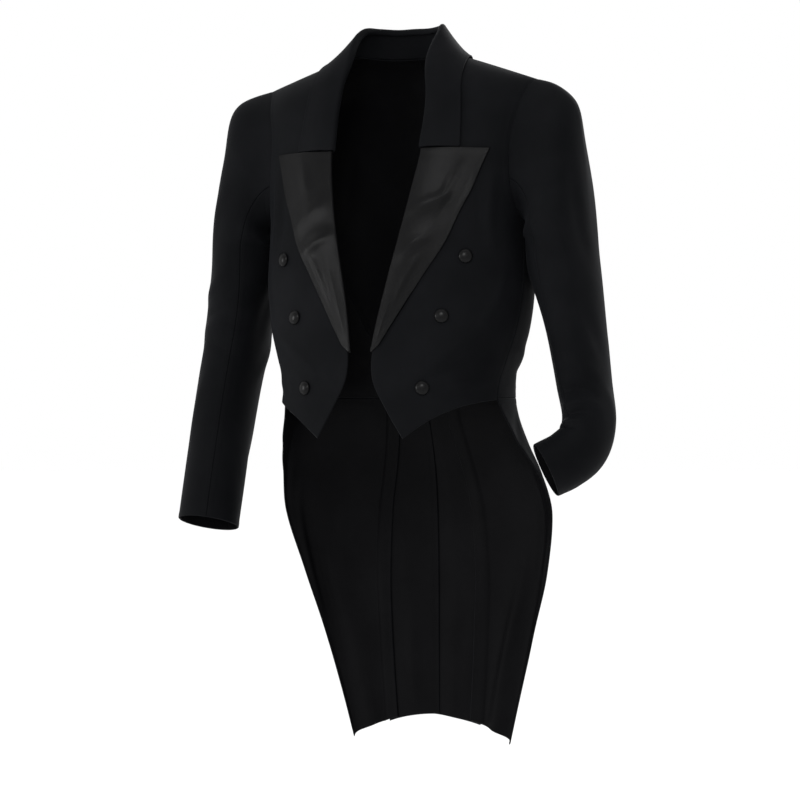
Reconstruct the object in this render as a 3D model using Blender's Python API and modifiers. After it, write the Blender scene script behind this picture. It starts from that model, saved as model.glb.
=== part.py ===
"""White tie tailcoat, built from the pieces that a tailor cuts and sews.

Metres, +Z up.  The coat faces -Y and its own left side is +X.  The origin is the
middle of the neck opening, at the level where the shoulders carry the coat.
Every body panel is a stretch of one surface, given by an angle round the body,
0 at the centre front and pi at the centre back, and a length down from the
shoulder ridge.
"""
import math
from collections import namedtuple

import bmesh
import bpy
from mathutils import Vector

# Cloth and seams
CLOTH = 0.0022
SATIN = 0.0018
SEAM_GAP = 0.0003
LAID_GAP = 0.0007

# Shoulders
RIDGE_TOP = 0.0409
SHOULDER_SLOPE = 0.351
RIDGE_SOFTNESS = 0.05
SHOULDER_RADIUS = 0.05
TOP_HALF_WIDTH = 0.226
FULLNESS = 0.10

# Heights of the main lines
UNDERARM_HEIGHT = -0.2435
BACK_ARMHOLE_END = -0.182
WAIST_SEAM = -0.507
GORGE_HEIGHT = -0.141
ROLL_END = -0.440
HEM_AT_CENTRE = -0.992
HEM_AT_EDGE = -1.032

# Back vent and side pleats
VENT_LAP = 0.020
VENT_STEP = 0.004
VENT_LIFT_LENGTH = 0.016
VENT_LIFT_START = 0.45
VENT_LIFT_SPREAD = 0.35
PLEAT_TUCK = 0.016
PLEAT_RAMP = 0.009
PLEAT_EDGE = 0.001

# Collar and lapels
STAND_HEIGHT = 0.040
STAND_LEAN = 0.30
STAND_END = 0.66
UPRIGHT_EASE = 1.3
NECK_MIDDLE = 0.022
LAPEL_ROLL = 0.0045
LAPEL_ROLL_LENGTH = 0.08
FOLD_SHARE = 0.22
FOLD_START = math.radians(-115)
FOLD_END = math.radians(80)
FOLD_EASE = 1.8

# Buttons
FRONT_BUTTON_WIDTH = 0.021
WAIST_BUTTON_WIDTH = 0.020
WAIST_BUTTON_EASE = 0.0005
CUFF_BUTTON_WIDTH = 0.014
BUTTON_RISE = 0.30
CUFF_BUTTONS = 3
CUFF_BUTTON_START = 0.026
CUFF_BUTTON_STEP = 0.017
CUFF_BUTTON_ANGLE = math.radians(-84)
CUFF_BUTTON_TRIES = 10

# Sleeve seams, angles round the sleeve from its outer side to its front
SLEEVE_FRONT_SEAM = math.radians(118)
SLEEVE_BACK_SEAM = math.radians(262)

# Sleeve cap: how the cloth leaves the armhole and meets the first ring, below and on top
TIP_EASE = 0.0024
LEAVING_OUT = (0.024, 0.240)
LEAVING_UP = (0.010, -0.030)
ARRIVING = (0.045, 0.44)
ARRIVING_EASE = 1.3

# How each piece's rows and columns are shared out
FRONT_SPLIT = 0.5
BACK_WAIST = 0.40
BACK_SPLIT = 0.72
BACK_HEM_SHARE = 0.6
SKIRT_FOLD = 0.70
CAP_START = 0.62
FRONT_COLUMNS = 11
FRONT_ROWS = 22
SIDE_BODY_COLUMNS = 6
BACK_COLUMNS = 8
TAIL_ROWS = 16
WAIST_ROWS = 14
SHOULDER_ROWS = 11
SKIRT_COLUMNS = 9
TUCK_COLUMNS = 5
STAND_COLUMNS = 26
STAND_ROWS = 3
FALL_COLUMNS = 36
FALL_ROWS = 5
FALL_FOLD_ROWS = 4
LAPEL_ROWS = 18
LAPEL_COLUMNS = 7
LAPEL_FOLD_COLUMNS = 4
SLEEVE_ROWS = 14
CAP_ROWS = 7
TOP_SLEEVE_COLUMNS = 14
UNDER_SLEEVE_COLUMNS = 9
ARMHOLE_STEPS = 20
UNDERARM_ROUNDS = 10

# Body sections: half the width, the middle, and the depths in front and behind it
Section = namedtuple("Section", "height half_width centre front back")
SECTIONS = [
    Section(0.045, 0.226, 0.010, 0.058, 0.075),
    Section(0.000, 0.226, 0.010, 0.062, 0.079),
    Section(-0.050, 0.226, 0.010, 0.071, 0.087),
    Section(-0.100, 0.223, 0.010, 0.085, 0.094),
    Section(-0.150, 0.219, 0.010, 0.101, 0.097),
    Section(-0.200, 0.214, 0.010, 0.114, 0.097),
    Section(-0.245, 0.210, 0.010, 0.123, 0.094),
    Section(-0.300, 0.211, 0.010, 0.131, 0.090),
    Section(-0.355, 0.210, 0.010, 0.137, 0.084),
    Section(-0.405, 0.203, 0.010, 0.144, 0.078),
    Section(-0.450, 0.190, 0.010, 0.150, 0.073),
    Section(-0.490, 0.180, 0.010, 0.154, 0.071),
    Section(-0.530, 0.184, 0.010, 0.156, 0.078),
    Section(-0.575, 0.198, 0.014, 0.160, 0.088),
    Section(-0.620, 0.212, 0.030, 0.167, 0.084),
    Section(-0.680, 0.221, 0.052, 0.180, 0.069),
    Section(-0.770, 0.206, 0.076, 0.200, 0.049),
    Section(-0.860, 0.181, 0.090, 0.210, 0.036),
    Section(-0.960, 0.154, 0.099, 0.220, 0.028),
    Section(-1.050, 0.131, 0.103, 0.220, 0.024),
]

# Forepart: distance of the front edge from the middle
EdgeRow = namedtuple("EdgeRow", "height across")
FRONT_EDGE = [
    EdgeRow(0.020, 0.0775),
    EdgeRow(-0.030, 0.0790),
    EdgeRow(-0.141, 0.0770),
    EdgeRow(-0.214, 0.0660),
    EdgeRow(-0.266, 0.0555),
    EdgeRow(-0.330, 0.0410),
    EdgeRow(-0.376, 0.0310),
    EdgeRow(-0.420, 0.0230),
    EdgeRow(-0.455, 0.0190),
    EdgeRow(-0.485, 0.0235),
    EdgeRow(-0.526, 0.0450),
    EdgeRow(-0.566, 0.0690),
]

# Cutaway hem of the forepart, from its point to the side seam
HemRow = namedtuple("HemRow", "share height")
FRONT_HEM = [
    HemRow(0.00, -0.5660),
    HemRow(0.15, -0.5520),
    HemRow(0.35, -0.5350),
    HemRow(0.60, -0.5200),
    HemRow(0.85, -0.5120),
    HemRow(1.00, -0.5100),
]

# Seams and edges that run down the body, in degrees round it
SeamRow = namedtuple("SeamRow", "height angle")
SIDE_SEAM = [
    SeamRow(-0.2435, 79.0),
    SeamRow(-0.3500, 78.5),
    SeamRow(-0.4500, 76.0),
    SeamRow(-0.5200, 73.0),
]
BACK_SEAM = [
    SeamRow(-0.182, 119.0),
    SeamRow(-0.215, 125.0),
    SeamRow(-0.260, 132.5),
    SeamRow(-0.320, 142.0),
    SeamRow(-0.380, 151.0),
    SeamRow(-0.440, 159.0),
    SeamRow(-0.507, 164.0),
    SeamRow(-0.570, 163.5),
    SeamRow(-0.680, 160.0),
    SeamRow(-0.800, 156.0),
    SeamRow(-1.040, 150.0),
]
SKIRT_EDGE = [
    SeamRow(-0.505, 73.5),
    SeamRow(-0.560, 82.0),
    SeamRow(-0.620, 90.0),
    SeamRow(-0.680, 95.0),
    SeamRow(-0.770, 99.0),
    SeamRow(-0.860, 103.0),
    SeamRow(-0.960, 107.0),
    SeamRow(-1.040, 111.0),
]

# Armhole: edges of the forepart and the back, by length down from the ridge
ArmholeRow = namedtuple("ArmholeRow", "down front_angle back_angle")
ARMHOLE = [
    ArmholeRow(0.000, 74.0, 106.0),
    ArmholeRow(0.024, 69.5, 110.5),
    ArmholeRow(0.060, 64.5, 115.5),
    ArmholeRow(0.120, 60.0, 121.0),
    ArmholeRow(0.176, 63.0, 119.0),
    ArmholeRow(0.213, 69.5, 119.0),
    ArmholeRow(0.236, 79.0, 119.0),
]
UnderarmRow = namedtuple("UnderarmRow", "angle height")
UNDERARM = [
    UnderarmRow(79.0, -0.2435),
    UnderarmRow(85.0, -0.2480),
    UnderarmRow(95.0, -0.2460),
    UnderarmRow(105.0, -0.2320),
    UnderarmRow(113.0, -0.2080),
    UnderarmRow(119.0, -0.1820),
]

# Soft flutes in the tails, deepest at the hem
Flute = namedtuple("Flute", "angle spread depth")
FLUTES = [
    Flute(118.0, 9.0, 0.006),
    Flute(134.0, 8.0, -0.005),
    Flute(149.0, 8.0, 0.004),
    Flute(168.0, 8.0, -0.003),
]
FLUTE_TOP = -0.58

# Neckline and the collar's outer edge, from the centre back to the gorge seam
NeckRow = namedtuple("NeckRow", "share neck_across neck_reach edge_across edge_reach stand")
NECK = [
    NeckRow(-0.14, -0.0350, -0.0350, -0.045, -0.055, 1.00),
    NeckRow(0.00, 0.0000, -0.0400, 0.000, -0.060, 1.00),
    NeckRow(0.14, 0.0350, -0.0350, 0.045, -0.055, 1.00),
    NeckRow(0.27, 0.0640, -0.0190, 0.088, -0.036, 1.00),
    NeckRow(0.37, 0.0760, 0.0000, 0.109, -0.004, 0.96),
    NeckRow(0.48, 0.0768, 0.0300, 0.117, 0.026, 0.60),
    NeckRow(0.62, 0.0782, 0.0700, 0.122, 0.064, 0.20),
    NeckRow(0.80, 0.0785, 0.1150, 0.128, 0.105, 0.03),
    NeckRow(1.00, 0.0770, 0.1775, 0.135, 0.1595, 0.00),
]

# Outer edge of the lapel, from its peak to the end of the roll
LAPEL_EDGE = [
    EdgeRow(-0.1420, 0.1720),
    EdgeRow(-0.1720, 0.1620),
    EdgeRow(-0.2010, 0.1535),
    EdgeRow(-0.2360, 0.1375),
    EdgeRow(-0.2820, 0.1190),
    EdgeRow(-0.3300, 0.0900),
    EdgeRow(-0.3710, 0.0655),
    EdgeRow(-0.4300, 0.0300),
]

# Sleeves: the middle of each ring, half its width from inside to outside, half its depth
Ring = namedtuple("Ring", "across forth height half_across half_deep")
SleeveRow = namedtuple("SleeveRow", ("place",) + Ring._fields)
SLEEVES = {
    "right": [
        Ring(0.2620, 0.004, -0.270, 0.0440, 0.0690),
        Ring(0.2690, 0.008, -0.340, 0.0475, 0.0650),
        Ring(0.2790, 0.008, -0.410, 0.0475, 0.0620),
        Ring(0.2880, -0.004, -0.490, 0.0450, 0.0590),
        Ring(0.2930, -0.022, -0.570, 0.0445, 0.0565),
        Ring(0.2960, -0.042, -0.650, 0.0440, 0.0540),
        Ring(0.2970, -0.054, -0.697, 0.0440, 0.0530),
    ],
    "left": [
        Ring(0.2630, 0.006, -0.270, 0.0440, 0.0680),
        Ring(0.2690, 0.012, -0.338, 0.0450, 0.0640),
        Ring(0.2790, 0.018, -0.415, 0.0410, 0.0600),
        Ring(0.2895, 0.018, -0.485, 0.0385, 0.0560),
        Ring(0.3010, 0.008, -0.537, 0.0375, 0.0520),
        Ring(0.2980, -0.008, -0.574, 0.0375, 0.0490),
        Ring(0.2790, -0.026, -0.597, 0.0375, 0.0460),
        Ring(0.2530, -0.042, -0.612, 0.0370, 0.0440),
    ],
}

# Buttons: their places on the body, the waist and the cuffs
ButtonRow = namedtuple("ButtonRow", "across height")
FRONT_BUTTONS = [
    ButtonRow(0.148, -0.301),
    ButtonRow(0.119, -0.388),
    ButtonRow(0.095, -0.4926),
]
WAIST_BUTTON_HEIGHT = -0.494

# Half of a button's section, as shares of its radius and rise
ProfileRow = namedtuple("ProfileRow", "out up")
BUTTON_PROFILE = [
    ProfileRow(0.00, 1.00),
    ProfileRow(0.45, 0.93),
    ProfileRow(0.80, 0.68),
    ProfileRow(1.00, 0.30),
    ProfileRow(0.93, 0.00),
    ProfileRow(0.00, 0.00),
]
BUTTON_STEPS = 14

SIDES = {"right": -1, "left": 1}
NUDGE = 1e-4


def smooth(share):
    """Ease from 0 to 1 with level ends."""
    share = min(max(share, 0.0), 1.0)
    return share * share * (3 - 2 * share)


def mix(first, second, share):
    return first + (second - first) * share


def column(rows, name, at):
    """Smooth value of a table's column at a value of its first column."""
    keys = [row[0] for row in rows]
    if keys[0] > keys[-1]:
        rows = rows[::-1]
        keys = keys[::-1]
    values = [getattr(row, name) for row in rows]
    last = len(keys) - 1
    low = 0
    while low < last - 1 and at > keys[low + 1]:
        low += 1

    def slope(index):
        before = max(index - 1, 0)
        after = min(index + 1, last)
        return (values[after] - values[before]) / (keys[after] - keys[before])

    span = keys[low + 1] - keys[low]
    share = (at - keys[low]) / span
    if share < 0 or share > 1:
        near = low if share < 0 else low + 1
        return values[near] + (at - keys[near]) * slope(near)
    square = share * share
    cube = square * share
    return (
        (2 * cube - 3 * square + 1) * values[low]
        + (cube - 2 * square + share) * span * slope(low)
        + (3 * square - 2 * cube) * values[low + 1]
        + (cube - square) * span * slope(low + 1)
    )


def width_share(angle):
    """Distance from the middle as a share of the half width."""
    return math.sin(angle) * (1 + FULLNESS * math.cos(angle) ** 2)


def depth_share(angle):
    return math.cos(angle) * (1 + FULLNESS * math.sin(angle) ** 2)


def ridge_height(angle):
    """Height of the shoulder ridge over the body at this angle."""
    return RIDGE_TOP - SHOULDER_SLOPE * math.hypot(TOP_HALF_WIDTH * width_share(angle), RIDGE_SOFTNESS)


def rounding(down):
    """Drop and share of the depth at a length down from the ridge."""
    turn = down / SHOULDER_RADIUS
    if abs(turn) < math.pi / 2:
        return SHOULDER_RADIUS * (1 - math.cos(turn)), math.sin(turn)
    return SHOULDER_RADIUS + abs(down) - SHOULDER_RADIUS * math.pi / 2, math.copysign(1, down)


def down_at(angle, height):
    """Length down from the ridge at a height."""
    drop = ridge_height(angle) - height
    if drop < SHOULDER_RADIUS:
        return SHOULDER_RADIUS * math.acos(1 - drop / SHOULDER_RADIUS)
    return SHOULDER_RADIUS * math.pi / 2 + drop - SHOULDER_RADIUS


def flute_height(angle, height):
    """How far a soft flute stands out of the tails."""
    if height > FLUTE_TOP:
        return 0.0
    fade = smooth((FLUTE_TOP - height) / (FLUTE_TOP - HEM_AT_EDGE))
    degrees = math.degrees(angle)
    total = 0.0
    for flute in FLUTES:
        total += flute.depth * math.exp(-(((degrees - flute.angle) / flute.spread) ** 2))
    return total * fade


def body_point(angle, down):
    """Outer face of the left half of the body."""
    drop, share = rounding(down)
    height = ridge_height(angle) - drop
    centre = column(SECTIONS, "centre", height)
    side = "front" if math.cos(angle) * share > 0 else "back"
    depth = column(SECTIONS, side, height)
    flute = flute_height(angle, height)
    return Vector((
        column(SECTIONS, "half_width", height) * width_share(angle) + flute * math.sin(angle),
        centre - depth * depth_share(angle) * share - flute * math.cos(angle),
        height,
    ))


def body_normal(angle, down):
    around = body_point(angle + NUDGE, down) - body_point(angle - NUDGE, down)
    along = body_point(angle, down + NUDGE) - body_point(angle, down - NUDGE)
    return along.cross(around).normalized()


def raised(angle, down, lift):
    """Point on the body moved out by a lift."""
    return body_point(angle, down) + body_normal(angle, down) * lift


def angle_at(across, height):
    """Angle on the front half where the body is this far from the middle."""
    share = across / column(SECTIONS, "half_width", height)
    angle = math.asin(min(share, 0.999))
    for _ in range(6):
        slope = math.cos(angle) * (1 + FULLNESS * (3 * math.cos(angle) ** 2 - 2))
        angle -= (width_share(angle) - share) / max(slope, 0.2)
    return angle


def seam_angle(rows, height):
    return math.radians(column(rows, "angle", height))


def step_angle(angle, down, length):
    """Change of angle that moves this far round the body."""
    around = body_point(angle + NUDGE, down) - body_point(angle - NUDGE, down)
    return length * 2 * NUDGE / around.length


def evenly(count, start=0.0, end=1.0):
    return [mix(start, end, index / count) for index in range(count + 1)]


def collection_named(name):
    found = bpy.data.collections.new(name)
    bpy.context.scene.collection.children.link(found)
    return found


def finish_named(name, colour, roughness, specular):
    material = bpy.data.materials.new(name)
    material.use_nodes = True
    shader = material.node_tree.nodes["Principled BSDF"]
    shader.inputs["Base Color"].default_value = (*colour, 1.0)
    shader.inputs["Roughness"].default_value = roughness
    shader.inputs["Metallic"].default_value = 0.0
    shader.inputs["Specular IOR Level"].default_value = specular
    material.diffuse_color = (*colour, 1.0)
    return material


def add_object(name, mesh, finish):
    part = bpy.data.objects.new(name, mesh)
    part.data.materials.append(finish)
    parts.objects.link(part)
    part.parent = coat
    return part


def cloth_wall(name, place, across, up, thickness, finish, side=1):
    """Closed wall of cloth lofted from its outer face.

    place gives the outer face of the left piece at a share across and a share up,
    and side mirrors it.  The inner face is the outer one moved in by the thickness.
    """
    mesh = bmesh.new()
    grids = []
    for depth in (0.0, thickness):
        grid = []
        for high in up:
            row = []
            for wide in across:
                point = place(wide, high)
                if depth:
                    to_side = place(wide + NUDGE, high) - place(wide - NUDGE, high)
                    to_top = place(wide, high + NUDGE) - place(wide, high - NUDGE)
                    point = point - to_side.cross(to_top).normalized() * depth
                row.append(mesh.verts.new((side * point.x, point.y, point.z)))
            grid.append(row)
        grids.append(grid)
    outer, inner = grids
    last_row = len(up) - 1
    last_column = len(across) - 1
    for high in range(last_row):
        for wide in range(last_column):
            mesh.faces.new((
                outer[high][wide], outer[high][wide + 1],
                outer[high + 1][wide + 1], outer[high + 1][wide],
            ))
            mesh.faces.new((
                inner[high + 1][wide], inner[high + 1][wide + 1],
                inner[high][wide + 1], inner[high][wide],
            ))
        mesh.faces.new((outer[high + 1][0], inner[high + 1][0], inner[high][0], outer[high][0]))
        mesh.faces.new((
            outer[high][last_column], inner[high][last_column],
            inner[high + 1][last_column], outer[high + 1][last_column],
        ))
    for wide in range(last_column):
        mesh.faces.new((outer[0][wide], inner[0][wide], inner[0][wide + 1], outer[0][wide + 1]))
        mesh.faces.new((
            outer[last_row][wide + 1], inner[last_row][wide + 1],
            inner[last_row][wide], outer[last_row][wide],
        ))
    bmesh.ops.recalc_face_normals(mesh, faces=mesh.faces)
    data = bpy.data.meshes.new(name)
    mesh.to_mesh(data)
    mesh.free()
    data.shade_smooth()
    data.set_sharp_from_angle(angle=math.radians(40))
    return add_object(name, data, finish)


def front_edge_angle(height):
    return angle_at(column(FRONT_EDGE, "across", height), height)


def front_place(wide, high):
    """Forepart: the front edge at 0 across, the side seam and armhole at 1."""
    if high < FRONT_SPLIT:
        rise = high / FRONT_SPLIT
        height = mix(column(FRONT_HEM, "height", wide), UNDERARM_HEIGHT, rise)
        edge = front_edge_angle(height)
        seam = seam_angle(SIDE_SEAM, height)
        seam -= step_angle(seam, down_at(seam, height), SEAM_GAP / 2)
        angle = mix(edge, seam, wide)
        return body_point(angle, down_at(angle, height))
    rise = (high - FRONT_SPLIT) / (1 - FRONT_SPLIT)
    edge = front_edge_angle(UNDERARM_HEIGHT)
    for _ in range(3):
        drop = rounding(mix(down_at(edge, UNDERARM_HEIGHT), SEAM_GAP / 2, rise))[0]
        edge = front_edge_angle(ridge_height(edge) - drop)
    armhole = math.radians(column(ARMHOLE, "front_angle", ARMHOLE[-2].down))
    seam_down = mix(down_at(armhole, UNDERARM_HEIGHT), SEAM_GAP / 2, rise)
    seam = math.radians(column(ARMHOLE, "front_angle", seam_down))
    angle = mix(edge, seam, wide)
    return body_point(angle, mix(down_at(angle, UNDERARM_HEIGHT), SEAM_GAP / 2, rise))


def back_side_angle(down, height):
    """Side edge of the back: the side-back seam, then the armhole."""
    if height < BACK_ARMHOLE_END:
        angle = seam_angle(BACK_SEAM, height)
        return angle + step_angle(angle, down_at(angle, height), SEAM_GAP / 2)
    return math.radians(column(ARMHOLE, "back_angle", down))


def neck_down(across):
    """How far the back's top edge lies below the ridge near the neck."""
    rows = [EdgeRow(row.neck_across, -row.neck_reach) for row in NECK if row.neck_reach <= 0]
    if across >= rows[-1][0]:
        return SEAM_GAP / 2
    return max(column(rows, "across", across), SEAM_GAP / 2)


def hem_height(out):
    """Hem of the tails, curving down from the vent at 0 to the outer edge at 1."""
    return mix(HEM_AT_CENTRE, HEM_AT_EDGE, out * out)


def lower_height(high, foot):
    """Height of a row of the back below the underarm, with a row on the waist seam."""
    if high < BACK_WAIST:
        return mix(foot, WAIST_SEAM, high / BACK_WAIST)
    return mix(WAIST_SEAM, UNDERARM_HEIGHT, (high - BACK_WAIST) / (BACK_SPLIT - BACK_WAIST))


def upper_side(rise):
    """Angle and length down of the back's side edge above the underarm."""
    side = seam_angle(BACK_SEAM, UNDERARM_HEIGHT)
    for _ in range(6):
        down = mix(down_at(side, UNDERARM_HEIGHT), SEAM_GAP / 2, rise)
        side = back_side_angle(down, ridge_height(side) - rounding(down)[0])
    return side, down


def back_place(wide, high, lap):
    """Back: the side edge at 0 across, the centre back at 1; the hem at 0 up."""
    centre = math.pi - step_angle(math.pi, down_at(math.pi, UNDERARM_HEIGHT), SEAM_GAP / 2)
    if high < BACK_SPLIT:
        height = lower_height(high, hem_height(BACK_HEM_SHARE * (1 - wide)))
        side = back_side_angle(0.0, height)
        lift = 0.0
        if lap:
            under = WAIST_SEAM - height
            lift = (CLOTH + LAID_GAP) * smooth((under + VENT_LIFT_LENGTH) / VENT_LIFT_LENGTH)
            lift *= smooth((wide - VENT_LIFT_START) / VENT_LIFT_SPREAD)
            if under > 0:
                lapped = VENT_LAP * smooth(under / VENT_STEP)
                centre += step_angle(math.pi, down_at(math.pi, height), lapped)
        angle = mix(side, centre, wide)
        return raised(angle, down_at(angle, height), lift)
    rise = (high - BACK_SPLIT) / (1 - BACK_SPLIT)
    angle = mix(upper_side(rise)[0], centre, wide)
    top = neck_down(TOP_HALF_WIDTH * width_share(angle))
    return body_point(angle, mix(down_at(angle, UNDERARM_HEIGHT), top, rise))


def side_body_top(wide):
    """Height of the side body's top edge, which keeps to the armhole between its two seams."""
    angle = mix(UNDERARM[0].angle, UNDERARM[-1].angle, wide)
    for _ in range(UNDERARM_ROUNDS):
        back_angle = column(BACK_SEAM, "angle", column(UNDERARM, "height", angle))
        angle = mix(angle, mix(UNDERARM[0].angle, back_angle, wide), 0.5)
    return column(UNDERARM, "height", angle)


def side_body_place(wide, high):
    """Side body: the forepart's seam at 0 across, the back's at 1; the waist at 0 up."""
    height = mix(WAIST_SEAM + SEAM_GAP / 2, side_body_top(wide), high)
    first = seam_angle(SIDE_SEAM, min(height, UNDERARM_HEIGHT))
    second = seam_angle(BACK_SEAM, height)
    first += step_angle(first, down_at(first, height), SEAM_GAP / 2)
    second -= step_angle(second, down_at(second, height), SEAM_GAP / 2)
    angle = mix(first, second, wide)
    return body_point(angle, down_at(angle, height))


def skirt_place(wide, high):
    """Skirt: its free edge at 0 across, the part tucked under the back at 1."""
    top = WAIST_SEAM - SEAM_GAP / 2
    height = mix(hem_height(mix(1.0, BACK_HEM_SHARE, wide)), top, high)
    edge = seam_angle(SKIRT_EDGE, height)
    pleat = seam_angle(BACK_SEAM, height)
    tuck = step_angle(pleat, down_at(pleat, height), PLEAT_TUCK)
    if wide < SKIRT_FOLD:
        angle = mix(edge, pleat - tuck / 2, wide / SKIRT_FOLD)
    else:
        angle = mix(pleat - tuck / 2, pleat + tuck, (wide - SKIRT_FOLD) / (1 - SKIRT_FOLD))
    before = (pleat - angle) * PLEAT_TUCK / tuck
    lift = -(CLOTH + LAID_GAP) * smooth((PLEAT_RAMP - before) / (PLEAT_RAMP - PLEAT_EDGE))
    return raised(angle, down_at(angle, height), lift)


def neck_value(name, share):
    return column(NECK, name, abs(share))


def shoulder_place(across, reach):
    """Angle and length down for a reach over the ridge, to the front if positive."""
    angle = angle_at(across, 0.0)
    if reach < 0:
        return math.pi - angle, -reach
    return angle, reach


def neck_frame(share):
    """Edge of the neckline with the way out of the edge and the way out of the cloth."""
    angle, down = shoulder_place(neck_value("neck_across", share), neck_value("neck_reach", share))
    point = body_point(angle, down)
    normal = body_normal(angle, down)
    outward = Vector((point.x, point.y - NECK_MIDDLE, 0.0)).normalized()
    upright = (Vector((0, 0, 1)) - outward * STAND_LEAN).normalized()
    over = body_point(angle - NUDGE, down) - body_point(angle + NUDGE, down)
    standing = smooth(neck_value("stand", share) * UPRIGHT_EASE)
    edge = (over.normalized() * (1 - standing) + upright * standing).normalized()
    face = normal * (1 - standing) + outward * standing
    face = (face - edge * face.dot(edge)).normalized()
    return point, over.normalized() * (1 - standing), edge, face


def mirrored(point, share):
    return Vector((-point.x, point.y, point.z)) if share < 0 else point


def stand_place(wide, high):
    """Collar stand: right front at 0 across, left front at 1; the neck seam at 0 up."""
    share = mix(-STAND_END, STAND_END, wide)
    point, aside, edge, face = neck_frame(share)
    rise = STAND_HEIGHT * neck_value("stand", share)
    placed = point + aside * (2 * LAID_GAP) + edge * mix(LAID_GAP, rise, high) - face * LAID_GAP
    return mirrored(placed, share)


def folded(point, edge, face, base, rise, roll, thickness, high):
    """Cloth folded over an edge: its start behind the edge at 0 up, its free edge at 1."""
    radius = CLOTH / 2 + LAID_GAP + thickness
    lift = thickness + LAID_GAP
    core = point + edge * rise - face * (CLOTH / 2 + LAID_GAP)
    if high < FOLD_SHARE:
        turn = mix(FOLD_START, FOLD_END, high / FOLD_SHARE)
        return core + edge * (radius * math.cos(turn)) + face * (radius * math.sin(turn))
    share = (high - FOLD_SHARE) / (1 - FOLD_SHARE)
    start = core + edge * (radius * math.cos(FOLD_END)) + face * (radius * math.sin(FOLD_END))
    laid, normal = base(share)
    swell = roll * math.sin(math.pi * share) * (1 - share)
    rest = laid + normal * (lift + swell)
    held = max(1 - share, 0.0) ** FOLD_EASE
    foot, foot_normal = base(0.0)
    return rest + (start - foot - foot_normal * lift) * held


def fall_place(wide, high):
    """Collar fall: right gorge at 0 across, left gorge at 1; its outer edge at 0 up."""
    share = mix(-1.0, 1.0, wide)
    point, _, edge, face = neck_frame(share)

    def base(out):
        across = mix(neck_value("neck_across", share), neck_value("edge_across", share), out)
        reach = mix(neck_value("neck_reach", share), neck_value("edge_reach", share), out)
        angle, down = shoulder_place(across, reach)
        return body_point(angle, down), body_normal(angle, down)

    rise = STAND_HEIGHT * neck_value("stand", share) + SEAM_GAP
    roll = LAPEL_ROLL * (1 - neck_value("stand", share))
    placed = folded(point, edge, face, base, rise, roll, CLOTH, 1 - high)
    return mirrored(placed, share)


def lapel_place(wide, high):
    """Lapel: behind the roll at 0 across, its outer edge at 1; the roll's end at 0 up."""
    roll_height = mix(ROLL_END, GORGE_HEIGHT - SEAM_GAP, high)
    edge_height = mix(LAPEL_EDGE[-1].height, LAPEL_EDGE[0].height, high)
    angle = front_edge_angle(roll_height)
    down = down_at(angle, roll_height)
    outer = angle_at(column(LAPEL_EDGE, "across", edge_height), edge_height)

    def base(out):
        here = mix(angle, outer, out)
        height = mix(roll_height, edge_height, out)
        below = down_at(here, height)
        return body_point(here, below), body_normal(here, below)

    point, face = base(0.0)
    over = body_point(angle - NUDGE, down) - body_point(angle + NUDGE, down)
    edge = over.normalized()
    roll = LAPEL_ROLL * smooth((roll_height - ROLL_END) / LAPEL_ROLL_LENGTH)
    return folded(point, edge, face, base, LAID_GAP, roll, SATIN, wide)


def armhole_curve():
    """Closed armhole from the shoulder tip down the front and up the back."""
    points = []
    bottom = down_at(math.radians(UNDERARM[0].angle), UNDERARM_HEIGHT)
    for share in evenly(ARMHOLE_STEPS):
        down = bottom * share
        angle = math.radians(column(ARMHOLE, "front_angle", down))
        points.append(body_point(angle, down))
    for share in evenly(ARMHOLE_STEPS)[1:]:
        degrees = mix(UNDERARM[0].angle, UNDERARM[-1].angle, share)
        angle = math.radians(degrees)
        points.append(body_point(angle, down_at(angle, column(UNDERARM, "height", degrees))))
    top = down_at(math.radians(UNDERARM[-1].angle), BACK_ARMHOLE_END)
    for share in evenly(ARMHOLE_STEPS)[1:]:
        down = top * (1 - share)
        angle = math.radians(column(ARMHOLE, "back_angle", down))
        points.append(body_point(angle, down))
    return points


def curve_lengths(points):
    lengths = [0.0]
    for before, after in zip(points, points[1:]):
        lengths.append(lengths[-1] + (after - before).length)
    return lengths


def armhole_point(turn):
    """Point of the armhole at a share of a full turn, from the shoulder tip."""
    turn = turn % 1.0
    half = ARMHOLE_LENGTHS[ARMHOLE_LOWEST]
    if turn < 0.5:
        wanted = half * turn * 2
    else:
        wanted = mix(half, ARMHOLE_LENGTHS[-1], turn * 2 - 1)
    index = 0
    while index < len(ARMHOLE_LENGTHS) - 2 and ARMHOLE_LENGTHS[index + 1] < wanted:
        index += 1
    span = ARMHOLE_LENGTHS[index + 1] - ARMHOLE_LENGTHS[index]
    share = (wanted - ARMHOLE_LENGTHS[index]) / span
    return ARMHOLE_POINTS[index].lerp(ARMHOLE_POINTS[index + 1], share)


def sleeve_ring(rows, at):
    """Middle, direction and half sizes of the sleeve at a place along its table."""
    table = [SleeveRow(index, *row) for index, row in enumerate(rows)]

    def middle(place):
        return Vector([column(table, name, place) for name in ("across", "forth", "height")])

    direction = (middle(at + 0.01) - middle(at - 0.01)).normalized()
    sizes = [column(table, name, at) for name in ("half_across", "half_deep")]
    return middle(at), direction, sizes


def ring_point(rows, at, turn):
    middle, direction, (half_across, half_deep) = sleeve_ring(rows, at)
    outward = Vector((1, 0, 0))
    outward = (outward - direction * outward.dot(direction)).normalized()
    forward = direction.cross(outward)
    if forward.y > 0:
        forward = -forward
    return middle + outward * half_across * math.cos(turn) + forward * half_deep * math.sin(turn)


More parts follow.
